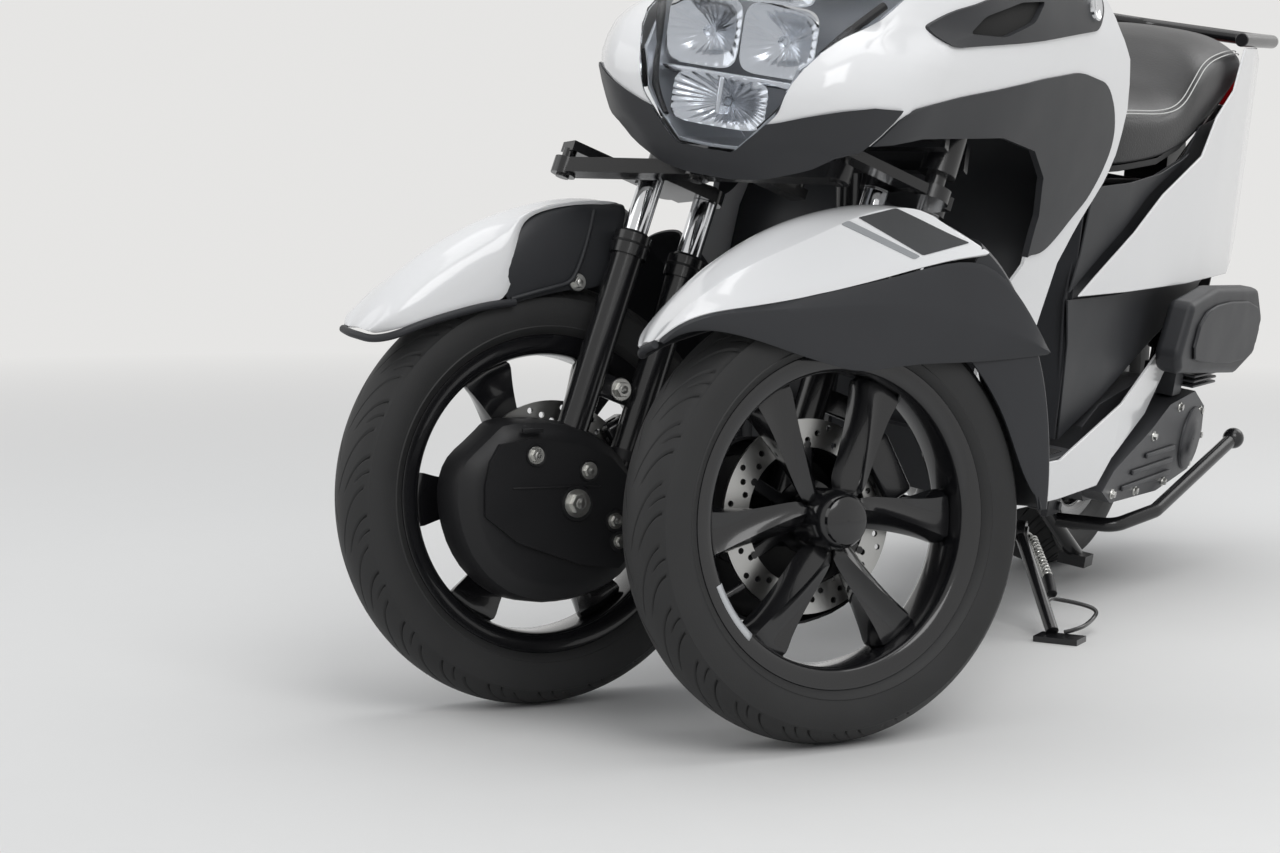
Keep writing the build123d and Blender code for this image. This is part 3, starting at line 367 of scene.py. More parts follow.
def prism(outline, view, low, high, corner=0.0):
    """Closed prism over an outline seen from the side (y, z) or the front (x, z), with rounded corners."""
    bm = bmesh.new()
    place = {"side": lambda a, b, at: (at, a, b), "front": lambda a, b, at: (a, at, b)}[view]
    face = bm.faces.new([bm.verts.new(place(a, b, low)) for a, b in outline])
    made = bmesh.ops.extrude_face_region(bm, geom=[face])["geom"]
    top = [g for g in made if isinstance(g, bmesh.types.BMVert)]
    bmesh.ops.translate(bm, verts=top, vec=Vector(place(0, 0, high)) - Vector(place(0, 0, low)))
    if corner:
        axis = Vector(place(0, 0, 1))
        long = [e for e in bm.edges if abs((e.verts[0].co - e.verts[1].co).normalized().dot(axis)) > 0.99]
        bmesh.ops.bevel(bm, geom=long, offset=corner, segments=4, affect="EDGES", profile=0.5, material=-1,
                        clamp_overlap=True)
    bmesh.ops.recalc_face_normals(bm, faces=bm.faces)
    return bm


def revolved(profile, steps=96, centre=(0, 0, 0)):
    """Ring round X through a centre, from (offset, radius) points of a closed profile."""
    bm = bmesh.new()
    line = [bm.verts.new((a, 0, r)) for a, r in profile]
    edges = [bm.edges.new(pair) for pair in zip(line, line[1:] + line[:1])]
    bmesh.ops.spin(bm, geom=line + edges, cent=(0, 0, 0), axis=(1, 0, 0), angle=2 * math.pi, steps=steps,
                   use_merge=True)
    bmesh.ops.recalc_face_normals(bm, faces=bm.faces)
    bmesh.ops.translate(bm, verts=bm.verts, vec=centre)
    return bm


def merge(bm, other, place=None):
    """Adds another bmesh to bm, moved by a matrix, and frees it."""
    if place is not None:
        other.transform(place)
    temp = bpy.data.meshes.new("temp")
    other.to_mesh(temp)
    other.free()
    bm.from_mesh(temp)
    bpy.data.meshes.remove(temp)
    return bm


def standing(at, axis):
    """Matrix that stands local Z along an axis at a point."""
    turn = Vector((0, 0, 1)).rotation_difference(Vector(axis).normalized()).to_matrix().to_4x4()
    return Matrix.Translation(at) @ turn


def rod(p, q, r, segments=20, r2=None):
    """Round bar from p to q."""
    p, q = Vector(p), Vector(q)
    bm = bmesh.new()
    bmesh.ops.create_cone(bm, cap_ends=True, segments=segments, radius1=r, radius2=r if r2 is None else r2,
                          depth=(q - p).length)
    bm.transform(standing((p + q) / 2, q - p))
    return bm


def hex_bolt(at, axis, across, height):
    """Flanged hexagon head, standing on a point with its axis."""
    bm = bmesh.new()
    for sides, r, z0, z1 in ((24, across * 0.82, 0, height * 0.25), (6, across / 1.75, height * 0.25, height),
                             (16, across * 0.3, height, height * 1.02)):
        part = bmesh.ops.create_cone(bm, cap_ends=True, segments=sides, radius1=r, radius2=r * 0.94,
                                     depth=z1 - z0)
        bmesh.ops.translate(bm, verts=part["verts"], vec=(0, 0, (z0 + z1) / 2))
    bm.transform(standing(at, axis))
    return bm


def tube(points, r, segments=12):
    """Round tube along a smooth line through points."""
    curve = bpy.data.curves.new("line", "CURVE")
    curve.dimensions = "3D"
    line = curve.splines.new("NURBS")
    line.points.add(len(points) - 1)
    for p, co in zip(line.points, points):
        p.co = (*co, 1)
    line.order_u = 3
    line.use_endpoint_u = True
    line.resolution_u = 6
    curve.bevel_depth = r
    curve.bevel_resolution = max(1, segments // 4)
    curve.use_fill_caps = True
    mesh = bpy.data.meshes.new_from_object(bpy.data.objects.new("line", curve))
    bm = bmesh.new()
    bm.from_mesh(mesh)
    bmesh.ops.remove_doubles(bm, verts=bm.verts, dist=r * 0.01)
    bmesh.ops.recalc_face_normals(bm, faces=bm.faces)
    bpy.data.curves.remove(curve)
    bpy.data.meshes.remove(mesh)
    return bm


def coil(p, q, radius, wire, turns):
    """Spring wire from p to q, with twelve points to a turn."""
    p, q = Vector(p), Vector(q)
    turn = standing((0, 0, 0), q - p)
    line = []
    for i in range(turns * 12 + 1):
        a = 2 * math.pi * i / 12
        out = turn @ Vector((radius * math.cos(a), radius * math.sin(a), 0))
        line.append(p.lerp(q, i / (turns * 12)) + out)
    return tube(line, wire, 8)


def rounded_box(lo, hi, edge, segments=3):
    """Box between two corners, with rounded edges."""
    bm = bmesh.new()
    bmesh.ops.create_cube(bm, size=1.0)
    size = [b - a for a, b in zip(lo, hi)]
    bmesh.ops.scale(bm, verts=bm.verts, vec=size)
    bmesh.ops.translate(bm, verts=bm.verts, vec=[(a + b) / 2 for a, b in zip(lo, hi)])
    bmesh.ops.bevel(bm, geom=bm.edges[:], offset=edge, segments=segments, affect="EDGES", profile=0.5,
                    material=-1)
    return bm


# Tyres: mesh columns follow the swept grooves, so their edges stay sharp
TREAD_DEPTH = 3.2
PITCHES = 22
COLUMNS = 48
SWEEP = 1.25
# Grooves: (start across, end across, share of a pitch, half width in columns)
GROOVES = ((0.07, 0.90, 0.0, 2.0), (0.34, 0.97, 0.5, 1.8), (0.64, 1.0, 0.24, 1.4))
# Crown: half its chord and its drop at the edges, in half widths of the tyre, and its steps
CROWN, CROWN_DROP, CROWN_STEPS = 0.92, 0.42, 44
# Wall: (share of the half width, share of the height over the bead seat)
WALL = ((0.955, 0.72), (0.99, 0.62), (1.0, 0.5), (0.985, 0.38), (0.94, 0.27), (0.955, 0.25), (0.93, 0.225),
        (0.86, 0.16), (0.74, 0.11))


def groove_depth(turn, across):
    """Depth of the tread cut, 0 to 1, at a share of the turn and a share of the half width."""
    deepest = 0.0
    for start, end, phase, half in GROOVES:
        k = (abs(across) - start) / (end - start)
        if 0 <= k <= 1:
            phase += 0.5 if across < 0 else 0.0
            columns = abs((turn * PITCHES - phase + 0.5) % 1.0 - 0.5) * COLUMNS
            deepest = max(deepest, min(1.0, 7 * k + 0.1, 7 * (1 - k) + 0.1, max(0.0, half - columns)))
    return deepest


def tyre(name, radius, width, seat_r, way, place, body, node):
    """Treaded tyre: a round crown with swept grooves, and walls with a rib and a bead."""
    h = width / 2
    wall = radius - seat_r
    crown_r = (CROWN ** 2 + CROWN_DROP ** 2) * h / (2 * CROWN_DROP)
    reach = math.asin(CROWN * h / crown_r)
    angles = [-reach + 2 * reach * i / CROWN_STEPS for i in range(CROWN_STEPS + 1)]
    profile = [(crown_r * math.sin(a), radius - crown_r * (1 - math.cos(a))) for a in angles]
    side = [(a * h, seat_r + b * wall) for a, b in WALL] + [(0.7 * h, seat_r + 2)]
    profile += side + [(-x, r) for x, r in side[::-1]]
    bm = revolved(profile, steps=PITCHES * COLUMNS)
    depth = {}
    for v in bm.verts:
        r = math.hypot(v.co.y, v.co.z)
        turn = math.atan2(-v.co.y, v.co.z) / (2 * math.pi)
        across = math.asin(max(-1, min(1, v.co.x / crown_r))) / reach
        if abs(v.co.x) <= 0.925 * h and r > radius - 0.5 * h:
            depth[v] = groove_depth(turn, across)
            r -= depth[v] * TREAD_DEPTH
        turn += way * SWEEP / PITCHES * (1 - (1 - min(1, abs(across))) ** 1.8)
        v.co.y, v.co.z = -r * math.sin(2 * math.pi * turn), r * math.cos(2 * math.pi * turn)
    # Faces deep in the grooves take the near-black material: painted shade in the groove bottoms, where the rubber
    # is really the same as on the tread
    for f in bm.faces:
        f.material_index = 1 if sum(depth.get(v, 0) for v in f.verts) > 2.5 else 0
    finish_piece(name, bm, place, "tyre_rubber", body, replaces=(node,), smooth=28, extra=("painted_shade_black",))


def tyres():
    """Front tyres, swept to each side, and the rear one."""
    for side in (1, -1):
        n = SIDE_NAME[side]
        tyre("tyre_" + n, FRONT_R, FRONT_W, FRONT_SEAT_R, -side, FRONT_WHEEL[side], "wheel_front_" + n,
             "tyre_front_" + n)
    tyre("tyre_back", REAR_R, REAR_W, REAR_SEAT_R, -1, REAR_WHEEL, "wheel_rear", "tyre_rear")


# Rims: angles of the spoke pairs and of a blade from its pair's middle
SPOKE_PAIRS = (-58.5, 61.5, 181.5)
SPOKE_SPREAD = 32.5
VALVE_ANGLE = 121
# Blade: (share of the way out, width, depth, shift, lift, dish, twist)
BLADE = ((0, 20, 38, 9, 3, 1, 38), (0.3, 28, 32, 7, 2, 3, 28), (0.62, 42, 27, 3, 1, 6, 13),
         (0.84, 56, 26, 0, 0, 7, 4), (1.0, 76, 28, 0, 0, 5, 0))
# Lip: (outward of the bead, outward of the bead seat)
LIP = ((0, 0), (0, 7.5), (1.2, 9), (3, 9), (4, 8), (4, 3), (2.5, -4), (1.5, -9), (-1.5, -13), (-9, -15.5))


def blade(r0, r1, twist):
    """Spoke: an edgewise ridge at the hub that turns and opens into a broad dished face at the rim."""
    rows = []
    for share, wide, deep, shift, lift, dish, angle in BLADE:
        r = r0 + share * (r1 + 3 - r0)
        a, b = wide / 2, deep / 2
        c, d = math.cos(math.radians(twist * angle)), math.sin(math.radians(twist * angle))
        line = ((-b, -a), (-b * 0.2, -a), (b, -a * 0.72), (b - dish, 0), (b, a * 0.72), (-b * 0.2, a),
                (-b, a), (3 - b, 0))
        rows.append([(lift + x * c - y * d, twist * shift + x * d + y * c, r) for x, y in line])
    return loft(rows, closed=True, creased=(0, 2, 4, 6), caps=True)


def rim(name, seat_r, bead_w, hub_w, hub_r, place, body, node, cap=True):
    """Cast rim with its lips, three pairs of blades, hub, cap with a pale strip of painted highlight on the lip,
    and valve.
    """
    b, w = bead_w / 2, hub_w / 2
    lip = [(b + x, seat_r + r) for x, r in LIP]
    bm = revolved([(-x, r) for x, r in lip] + lip[::-1], steps=144)
    for middle in SPOKE_PAIRS:
        for side in (-1, 1):
            one = applied(blade(hub_r - 8, seat_r - 14, side), "SUBSURF", levels=2)
            merge(bm, one, Matrix.Rotation(math.radians(middle + side * SPOKE_SPREAD), 4, "X"))
    core = [(-w, 12), (-w, hub_r - 3), (-w + 3, hub_r), (-w * 0.5, hub_r + 3), (w * 0.5, hub_r + 3),
            (w - 4, hub_r), (w, hub_r - 4), (w, 12)]
    merge(bm, revolved(core, steps=48))
    if cap:
        merge(bm, revolved([(w, 0.5), (w, 27), (w + 4, 26), (w + 6.5, 22), (w + 7, 0.5)], steps=48))
        # A pale strip over 24 degrees of the lip's inner slope: painted highlight where light catches the rim's
        # flange
        band = ((b + 3.2, seat_r - 3.4), (b + 2.1, seat_r - 8.6), (b - 0.6, seat_r - 12.6))
        rows = [[(x, -r * math.sin(a), r * math.cos(a)) for x, r in band]
                for a in [math.radians(112 + 2 * i) for i in range(13)]]
        highlight_strip = turn_out(loft(rows), rows[6][1], (1, 0, 0))
        finish_piece(name + "_painted_highlight", highlight_strip, place, "rim_black", body, material="painted_highlight_grey", solid=0.8)
    stem = rod((0, 0, seat_r - 14), (6, 0, seat_r - 34), 4.2, 16, r2=3.2)
    merge(stem, rod((6, 0, seat_r - 34), (9.5, 0, seat_r - 46), 4.0, 16))
    merge(bm, stem, Matrix.Rotation(math.radians(VALVE_ANGLE), 4, "X"))
    finish_piece(name, bm, place, "rim_black", body, replaces=(node,), smooth=38)


def brake_disc(name, outer, inner, hub_w, place, body, node):
    """Drilled disc on a black carrier."""
    bm = revolved([(-2, inner), (-2, outer), (2, outer), (2, inner)], steps=120)
    bores = bmesh.new()
    for i in range(15):
        for r, lag in ((inner + 8, 0.0), ((inner + outer) / 2, 0.33), (outer - 8, 0.66)):
            a = 2 * math.pi * (i + lag) / 15
            y, z = r * math.sin(a), r * math.cos(a)
            merge(bores, rod((-6, y, z), (6, y, z), 3.6, segments=12))
    bm = carved(bm, bores)
    move = place @ Matrix.Translation((-hub_w / 2 - DISC_OUT, 0, 0))
    finish_piece(name, bm, move, "disc_steel", body, replaces=(node,), smooth=30)
    hub = revolved([(-1.9, 30.5), (-1.9, 42), (1.9, 42), (1.9, 30.5)], steps=48)
    for i in range(6):
        turn = Matrix.Rotation(math.radians(60 * i), 4, "X")
        merge(hub, rounded_box((-1.8, -7, 38), (1.8, 7, inner + 5), 1.5, 1), turn)
        merge(hub, rod((-3.2, 0, inner + 3), (3.2, 0, inner + 3), 4.2, segments=16), turn)
    finish_piece(name + "_carrier", hub, move, "black_metal", body, smooth=30)


def wheels():
    """Rims and discs of the three wheels."""
    for side in (1, -1):
        n = SIDE_NAME[side]
        place, body = FRONT_WHEEL[side], "wheel_front_" + n
        rim("rim_" + n, FRONT_SEAT_R, 63.2, FRONT_HUB_W, 31, place, body, "rim_front_" + n)
        brake_disc("disc_" + n, 110, 78, FRONT_HUB_W, place, body, "disc_front_" + n)
    rim("rim_back", REAR_SEAT_R, 91.2, REAR_HUB_W, 40, REAR_WHEEL, "wheel_rear", "rim_rear", cap=False)
    brake_disc("disc_back", 115, 84, REAR_HUB_W, REAR_WHEEL, "wheel_rear", "disc_rear")


# Fenders: angle, inner edge's offset and radius, ridge and crease radius, outer edge's offset and radius
FENDER = (
    (49.5, -26, 287, 302, 303, 28, 303), (46.5, -46, 277, 305, 306, 44, 307),
    (42, -53, 266, 308, 306, 52, 299), (37, -54, 257, 311, 306, 55, 286),
    (30, -54, 247, 316, 304, 56, 269), (22, -54, 239, 321, 304, 56, 257),
    (14.5, -53, 233, 328, 306, 56, 252), (10, -52, 290, 332, 310, 56, 252),
    (7.5, -48, 322, 335, 313, 56, 252), (1, -45, 333, 343, 325, 56, 256),
    (-7, -44, 343, 354, 345, 56, 266), (-15, -43, 351, 362, 358, 56, 284),
)
FENDER_BACK = (
    (-20, ((4, 361), (8, 361), (14, 361), (20, 360), (26, 359), (31, 357), (38, 355), (56, 299))),
    (-26, ((26, 357), (29, 357), (31, 356), (33, 356), (35, 355), (37, 354), (40, 351), (56, 322))),
    (-31.5, ((49, 350), (50, 350), (51, 349), (52, 349), (53, 348), (54, 348), (55, 347), (56, 345))),
)
# Outer skirt: angle, (offset, radius) from its upper edge over the crease to its lower edge
SKIRT = (
    (49.5, ((27, 302.5), (31, 301), (34, 300), (33, 298), (31, 296))),
    (46.5, ((43, 306), (46, 304.5), (49, 303), (48, 299), (45, 296))),
    (42, ((51, 298), (54, 297), (58, 295), (57, 288), (53, 281))),
    (37, ((54, 285), (57, 284), (61, 282), (60, 269), (55, 256))),
    (30, ((55, 268), (58, 266), (62, 263), (61, 244), (56, 224))),
    (22, ((55, 256), (58.5, 254), (62, 249), (61, 222), (56, 196))),
    (12, ((55, 251), (59, 246), (62, 236), (61, 206), (56, 176))),
    (2, ((55, 255), (59, 246), (62, 234), (61, 198), (56, 164))),
    (-9, ((55, 267), (59, 254), (62, 238), (61, 202), (56, 166))),
    (-20, ((55, 297), (59, 274), (62, 246), (61, 212), (56, 180))),
    (-31.5, ((55, 343), (59, 305), (62, 261), (61, 230), (56, 202))),
    (-44, ((54, 336), (58, 315), (61, 292), (60, 266), (55, 240))),
    (-55.5, ((52, 327), (55, 326), (57, 325), (56, 322), (53, 318))),
)
# Rear flap: angle, outer radius, inner radius
FLAP = ((-30, 364, 250), (-36, 361, 240), (-45, 345, 237), (-53, 331, 235), (-61, 317, 235), (-70, 302, 234),
        (-79, 291, 238), (-85, 285, 250), (-89, 282, 262))
# Inner dark panel: angle, lower radius, upper radius
INNER_PANEL = ((15.5, 228, 288), (11, 229, 304), (5, 231, 326), (-3, 238, 336), (-9, 243, 343),
               (-16, 252, 350))
# Rolled lip of the front opening, and the inner panel's rib: (angle, offset, radius)
FENDER_LIP = ((13, -51.5, 229.5), (18, -53.5, 233), (24, -54.5, 238), (30, -54.5, 244), (37, -54.5, 254),
              (42, -54, 263), (47.5, -48, 273), (50.5, -27, 284), (51, -8, 295), (51, 8, 300),
              (50.3, 26, 302))
PANEL_RIB = ((14, -52, 234), (8, -54, 236), (0, -55.5, 242), (-4, -56, 247), (-6, -56, 262), (-8, -55, 300),
             (-9, -50, 336))
# Bare graphics on the flank: name, finish, corners (angle, radius)
GRAPHICS = (("panel", "decal_dark", ((-2.5, 332), (-10.7, 349.5), (-27.5, 346), (-17.6, 305.5))),
            ("stripe", "decal_grey", ((1.4, 324), (-0.4, 328), (-17.0, 303.5), (-15.6, 297.5))))


def arcs(side, table):
    """Rows of points round a front axle, from lines of (offset, radius) at angles."""
    return [[polar(side, a, d, r) for d, r in line] for a, line in table]


def fender_sheet(side, name, rows, crease, near, facing, slot="dark_grey_plastic", replaces=()):
    """Moulded sheet: a smooth skin with its wall, creased along one line."""
    bm = turn_out(loft(rows, creased=(crease,)), near, facing)
    fork_piece(side, name, bm, slot, replaces=replaces, subdiv=2, solid=3, bevel=0.8)


def fender(side):
    """White shell, dark skirt, rear flap and inner panel, with lip, bolt and bare graphics."""
    n = SIDE_NAME[side]
    name = "fender_" + n
    crown = [(a, ((d0, r0), (d0 - 2, r0 + 0.45 * (top - r0)), (max(d0, -50), top - 0.22 * (top - r0) - 4),
                  (0.62 * d0, top - 8), (-8, top), (14, top - 2), (0.7 * d1, crease), (d1, edge)))
             for a, d0, r0, top, crease, d1, edge in FENDER]
    rows = arcs(side, crown) + arcs(side, FENDER_BACK)
    above = polar(side, 10, 0, 340)
    fender_sheet(side, name + "_shell", rows, 6, above, (0, 0, 1), slot="white_paint", replaces=(name,))
    fender_sheet(side, name + "_skirt", arcs(side, SKIRT), 2, polar(side, 0, 60, 200), (side, 0, 0),
                 replaces=("fender_skirt_" + n,))
    flap = [(a, ((-50, r1 - 30), (-46, r1 - 9), (-20, r1), (20, r1 - 1), (44, r1 - 7), (52, r1 - 16),
                 (53, r1 - 34), (51, r0))) for a, r1, r0 in FLAP]
    fender_sheet(side, name + "_flap", arcs(side, flap), 5, polar(side, -60, 0, 330), (0, 1, 0))
    panel = [(a, ((-50, r0), (-54.5, 0.5 * (r0 + r1)), (-52, r1 - 8), (-42, r1 + 4), (-30, r1 + 6)))
             for a, r0, r1 in INNER_PANEL]
    fender_sheet(side, name + "_inner", arcs(side, panel), 0, polar(side, 0, -54, 280), (-side, 0, 0))
    edge = tube([polar(side, *p) for p in FENDER_LIP], 4.6, 16)
    merge(edge, tube([polar(side, *p) for p in PANEL_RIB], 2.6))
    fork_piece(side, name + "_lip", edge, "dark_grey_plastic")
    bolt = hex_bolt(polar(side, -6.5, -54, 249), (-side, 0, 0), 13, 8)
    fork_piece(side, name + "_bolt", bolt, "black_metal", material="zinc", bevel=0.5)
    for key, finish, outline in GRAPHICS:
        sheet = applied(turn_out(loft(rows, creased=(6,)), above, (0, 0, 1)), "SUBSURF", levels=2)
        for v in sheet.verts:
            v.co += v.normal * 0.4
        sheet = applied(sheet, "SOLIDIFY", thickness=0.8, offset=0.0)
        cutter = prism([polar(side, a, 0, r)[1:] for a, r in outline], "side", side * (HALF_TRACK + 16),
                       side * (HALF_TRACK + 70), corner=2.5)
        fork_piece(side, name + "_" + key, carved(sheet, cutter, "INTERSECT"), "dark_grey_plastic",
                   material=finish, smooth=50)


# Body shell, plan outlines from the centre to the rear edge: (height, [(x, y), ...])
SHELL = (
    (300, ((0, 296), (60, 300), (130, 316), (184, 350), (204, 410), (206, 500))),
    (440, ((0, 180), (60, 186), (120, 226), (190, 330), (212, 400), (214, 470))),
    (560, ((0, -20), (30, -18), (60, 0), (150, 140), (208, 340), (222, 500))),
    (632, ((0, -62), (34, -60), (72, -44), (156, 60), (214, 340), (230, 560))),
    (663, ((0, -84), (40, -82), (94, -62), (174, 72), (220, 350), (234, 590))),
    (700, ((0, -94), (72, -88), (128, -68), (190, 96), (226, 370), (237, 612))),
    (760, ((0, -96), (98, -82), (146, -66), (200, 119), (230, 400), (238, 624))),
    (823, ((0, -44), (132, 20), (160, 56), (206, 170), (228, 420), (236, 604))),
    (870, ((0, 8), (146, 80), (168, 110), (204, 220), (222, 420), (226, 548))),
    (930, ((0, 78), (122, 116), (150, 150), (184, 240), (200, 360), (204, 450))),
    (985, ((0, 150), (90, 168), (122, 192), (152, 250), (166, 330), (168, 390))),
)
SHELL_T = 4.0
ARCH = ((-320, 180), (-320, 628), (-66, 632), (-20, 690), (60, 704), (230, 713), (330, 700), (378, 668),
        (398, 620), (392, 560), (352, 520), (346, 440), (356, 350), (380, 290), (380, 180))
SIDE_BAND = ((-118, 480), (4, 733), (119, 754), (300, 784), (430, 799), (528, 789), (574, 754), (586, 710),
             (548, 648), (466, 590), (426, 572), (385, 572), (330, 480))
CHIN_SIDE = ((-220, 480), (-123, 480), (-1, 733), (13, 780), (-220, 780))
CHIN_FRONT = ((-260, 500), (-260, 738), (-170, 732), (-146, 724), (-84, 702), (-40, 690), (40, 690),
              (84, 702), (146, 724), (170, 732), (260, 738), (260, 500))
CHIN_LOW = ((60, 628), (92, 642), (132, 672), (196, 700), (280, 700), (280, 480))
LENS = ((0, 662), (34, 663), (60, 688), (82, 712), (90, 740), (98, 760), (114, 790), (134, 823), (146, 862),
        (96, 884), (40, 878), (0, 872))
VENT = ((92, 806), (60, 822), (110, 846), (200, 874), (340, 912), (470, 905), (500, 882), (478, 852),
        (270, 826))
VENT_MESH = ((128, 824), (160, 846), (240, 868), (300, 874), (270, 848), (200, 826))
CUT = 600       # a cutter reaches past both sides of the body
LENS_CUT = (-220, 130)


def mirrored(half):
    """Whole outline from its left half, whose first point lies on the centre plane."""
    return [(-a, b) for a, b in half[:0:-1]] + list(half)


def grown(outline, d):
    """Outline pushed outward from its middle, for a clear seam."""
    mx = sum(a for a, b in outline) / len(outline)
    mz = sum(b for a, b in outline) / len(outline)
    rows = []
    for a, b in outline:
        r = max(math.hypot(a - mx, b - mz), 1.0)
        rows.append((a + d * (a - mx) / r, b + d * (b - mz) / r))
    return rows


def nose_shell(proud, depth):
    """Closed wall of the front body, from its surface plus proud, depth inward."""
    bm = loft([[(x, y, z) for x, y in mirrored(half)] for z, half in SHELL])
    bmesh.ops.subdivide_edges(bm, edges=bm.edges, cuts=3, use_grid_fill=True, smooth=1.0)
    for i in range(2):
        bmesh.ops.smooth_vert(bm, verts=[v for v in bm.verts if not v.is_boundary], factor=0.5,
                              use_axis_x=True, use_axis_y=True, use_axis_z=True)
    turn_out(bm, (0, -94, 700), (0, -1, 0))
    bm.normal_update()
    for v in bm.verts:
        v.co += v.normal * proud
    return applied(bm, "SOLIDIFY", thickness=depth, offset=-1.0)


def front_body():
    """White cowl, dark band and chin, lens, and the vents with their pods."""
    window = list(LENS) + [(-x, z) for x, z in LENS[::-1] if x > 0]
    vents = {s: prism(VENT, "side", s * 120, s * 300, corner=14) for s in (1, -1)}
    side_band = prism(SIDE_BAND, "side", -CUT, CUT, corner=22)
    chin = carved(prism(CHIN_FRONT, "front", -220, 60), prism(CHIN_SIDE, "side", -CUT, CUT), "INTERSECT")
    white = nose_shell(0, SHELL_T)
    dark = nose_shell(2.6, SHELL_T + 4)
    openings = [prism(ARCH, "side", -CUT, CUT), prism(grown(window, 0.8), "front", *LENS_CUT, corner=6)]
    for cutter in openings:
        white = carved(white, cutter.copy())
        dark = carved(dark, cutter)
    for cutter in (side_band, chin, *vents.values()):
        white = carved(white, cutter.copy())
    chassis_piece("cowl_white", white, "white_paint", replaces=("front_cowl",), smooth=30, bevel=0.9)
    for s in (1, -1):
        wedge = [(s * x, z) for x, z in CHIN_LOW] + [(0, 480), (s * 30, 480), (s * 30, 628)]
        dark = carved(dark, prism(wedge, "front", -300, 30))
    band = carved(dark.copy(), side_band, "INTERSECT")
    chassis_piece("band_dark", band, "dark_grey_plastic", replaces=("lower_cowl",), smooth=30, bevel=2.2,
                  segments=3)
    nose = carved(dark, chin, "INTERSECT")
    chassis_piece("chin_dark", nose, "dark_grey_plastic", smooth=30, bevel=2.2, segments=3)
    lens = carved(nose_shell(0.4, 3), prism(window, "front", *LENS_CUT, corner=6), "INTERSECT")
    chassis_piece("lamp_lens", lens, "clear_lens", replaces=("headlight_lens",), bevel=0.6)
    for s, cutter in vents.items():
        n = SIDE_NAME[s]
        surround = carved(nose_shell(3.0, 6), cutter, "INTERSECT")
        surround = carved(surround, prism(VENT_MESH, "side", s * 120, s * 300, corner=8))
        chassis_piece("vent_frame_" + n, surround, "dark_grey_plastic", smooth=30, bevel=1.6)
        # The vent's mesh is real black plastic, but it is given the near-black material: painted shade in the
        # recess behind the vent frame
        back = carved(nose_shell(-3.0, 2), prism(grown(VENT_MESH, 4), "side", s * 120, s * 300), "INTERSECT")
        chassis_piece("vent_mesh_" + n, back, "black_plastic", smooth=30, material="painted_shade_black")
        pod = revolved([(0, 0.5), (0, 19), (4, 18.5), (5, 16), (3.4, 13), (3.4, 0.5)], steps=48)
        pod.transform(Matrix.Translation((s * 224, 462, 880)) @ Matrix.Rotation(math.radians(-14 * s), 4, "Y")
                      @ Matrix.Scale(s, 4, (1, 0, 0)))
        bmesh.ops.recalc_face_normals(pod, faces=pod.faces)
        chassis_piece("vent_pod_" + n, pod, "dark_grey_plastic", material="chrome", smooth=30)


# Headlamp bowls: middle, width, height, depth of the flutes; and a bowl's section (depth, radius)
BOWLS = (((46, -8, 786), 1.0, 0.86, 0.2), ((-46, -8, 786), 1.0, 0.86, 0.2), ((0, -38, 714), 1.28, 0.62, 0.9),
         ((0, 22, 846), 1.5, 0.5, 0.2))
DISH = ((2, 1), (6, 16), (14, 30), (27, 42), (30, 45), (30, 42), (15, 28), (7, 14), (3.5, 1))
FLUTES = 24
LAMP_EDGE = ((58, -78, 690), (80, -70, 716), (88, -62, 745), (100, -40, 778), (118, -8, 812), (136, 22, 840))


def headlamp():
    """Fluted square bowls, dividing bar and dark trim behind the lens."""
    for i, (at, wide, tall, flute) in enumerate(BOWLS):
        bm = revolved(DISH, steps=144)
        for v in bm.verts:
            r = math.hypot(v.co.y, v.co.z)
            turn = math.atan2(v.co.y, v.co.z)
            square = (abs(math.cos(turn)) ** 5 + abs(math.sin(turn)) ** 5) ** -0.2
            v.co.x += flute * math.cos(turn * FLUTES) * min(1, r / 20)
            v.co.y *= 1 + (square - 1) * min(1, r / 42)
            v.co.z *= 1 + (square - 1) * min(1, r / 42)
        bm.transform(Matrix.Translation(at) @ Matrix.Diagonal((wide, 1, tall, 1))
                     @ Matrix.Rotation(math.radians(-90), 4, "Z"))
        chassis_piece("lamp_dish_%d" % i, bm, "lamp_reflector", smooth=60)
        bulb = rod(Vector(at) - Vector((0, 22, 0)), Vector(at) - Vector((0, 2, 0)), 6)
        chassis_piece("lamp_bulb_%d" % i, bulb, "lamp_reflector", material="clear_lens", bevel=2)
    bar = rounded_box((-92, -52, 736), (92, -20, 744), 2.5)
    merge(bar, rounded_box((-3, -70, 700), (3, -10, 740), 2))
    chassis_piece("lamp_bar", bar, "lamp_reflector")
    trim = bmesh.new()
    for s in (1, -1):
        merge(trim, tube([(s * x, y, z) for x, y, z in LAMP_EDGE], 5))
    chassis_piece("lamp_trim", trim, "black_plastic")


# Windscreen, plan lines from the centre: (height, ((x, y), ...))
SCREEN = (
    (896, ((0, 28), (50, 44), (96, 72), (142, 114))), (930, ((0, 72), (46, 78), (88, 94), (120, 112))),
    (985, ((0, 144), (40, 147), (74, 154), (98, 166))), (1080, ((0, 170), (36, 173), (66, 181), (92, 194))),
    (1150, ((0, 190), (30, 192), (56, 199), (82, 212))), (1194, ((0, 205), (22, 207), (42, 212), (62, 222))),
)


def screen():
    """Clear windscreen, crowned across."""
    rows = [[(x, y, z) for x, y in mirrored(half)] for z, half in SCREEN]
    bm = turn_out(loft(rows), (0, 140, 985), (0, -1, 0))
    chassis_piece("screen_clear", bm, "screen", replaces=("windscreen",), subdiv=2, solid=3, bevel=0.8)


# Seat, cross-sections by y: (y, half width, base height, side top, crown height)
SEAT = (
    (872, 62, 654, 700, 726), (890, 84, 652, 726, 752), (925, 100, 654, 742, 769),
    (1010, 126, 663, 750, 778), (1130, 144, 677, 754, 779), (1205, 148, 697, 768, 790),
    (1250, 149, 712, 806, 828), (1290, 149, 727, 838, 862), (1400, 146, 771, 857, 882),
    (1520, 134, 811, 862, 887), (1610, 108, 832, 860, 880), (1638, 90, 838, 856, 870),
)


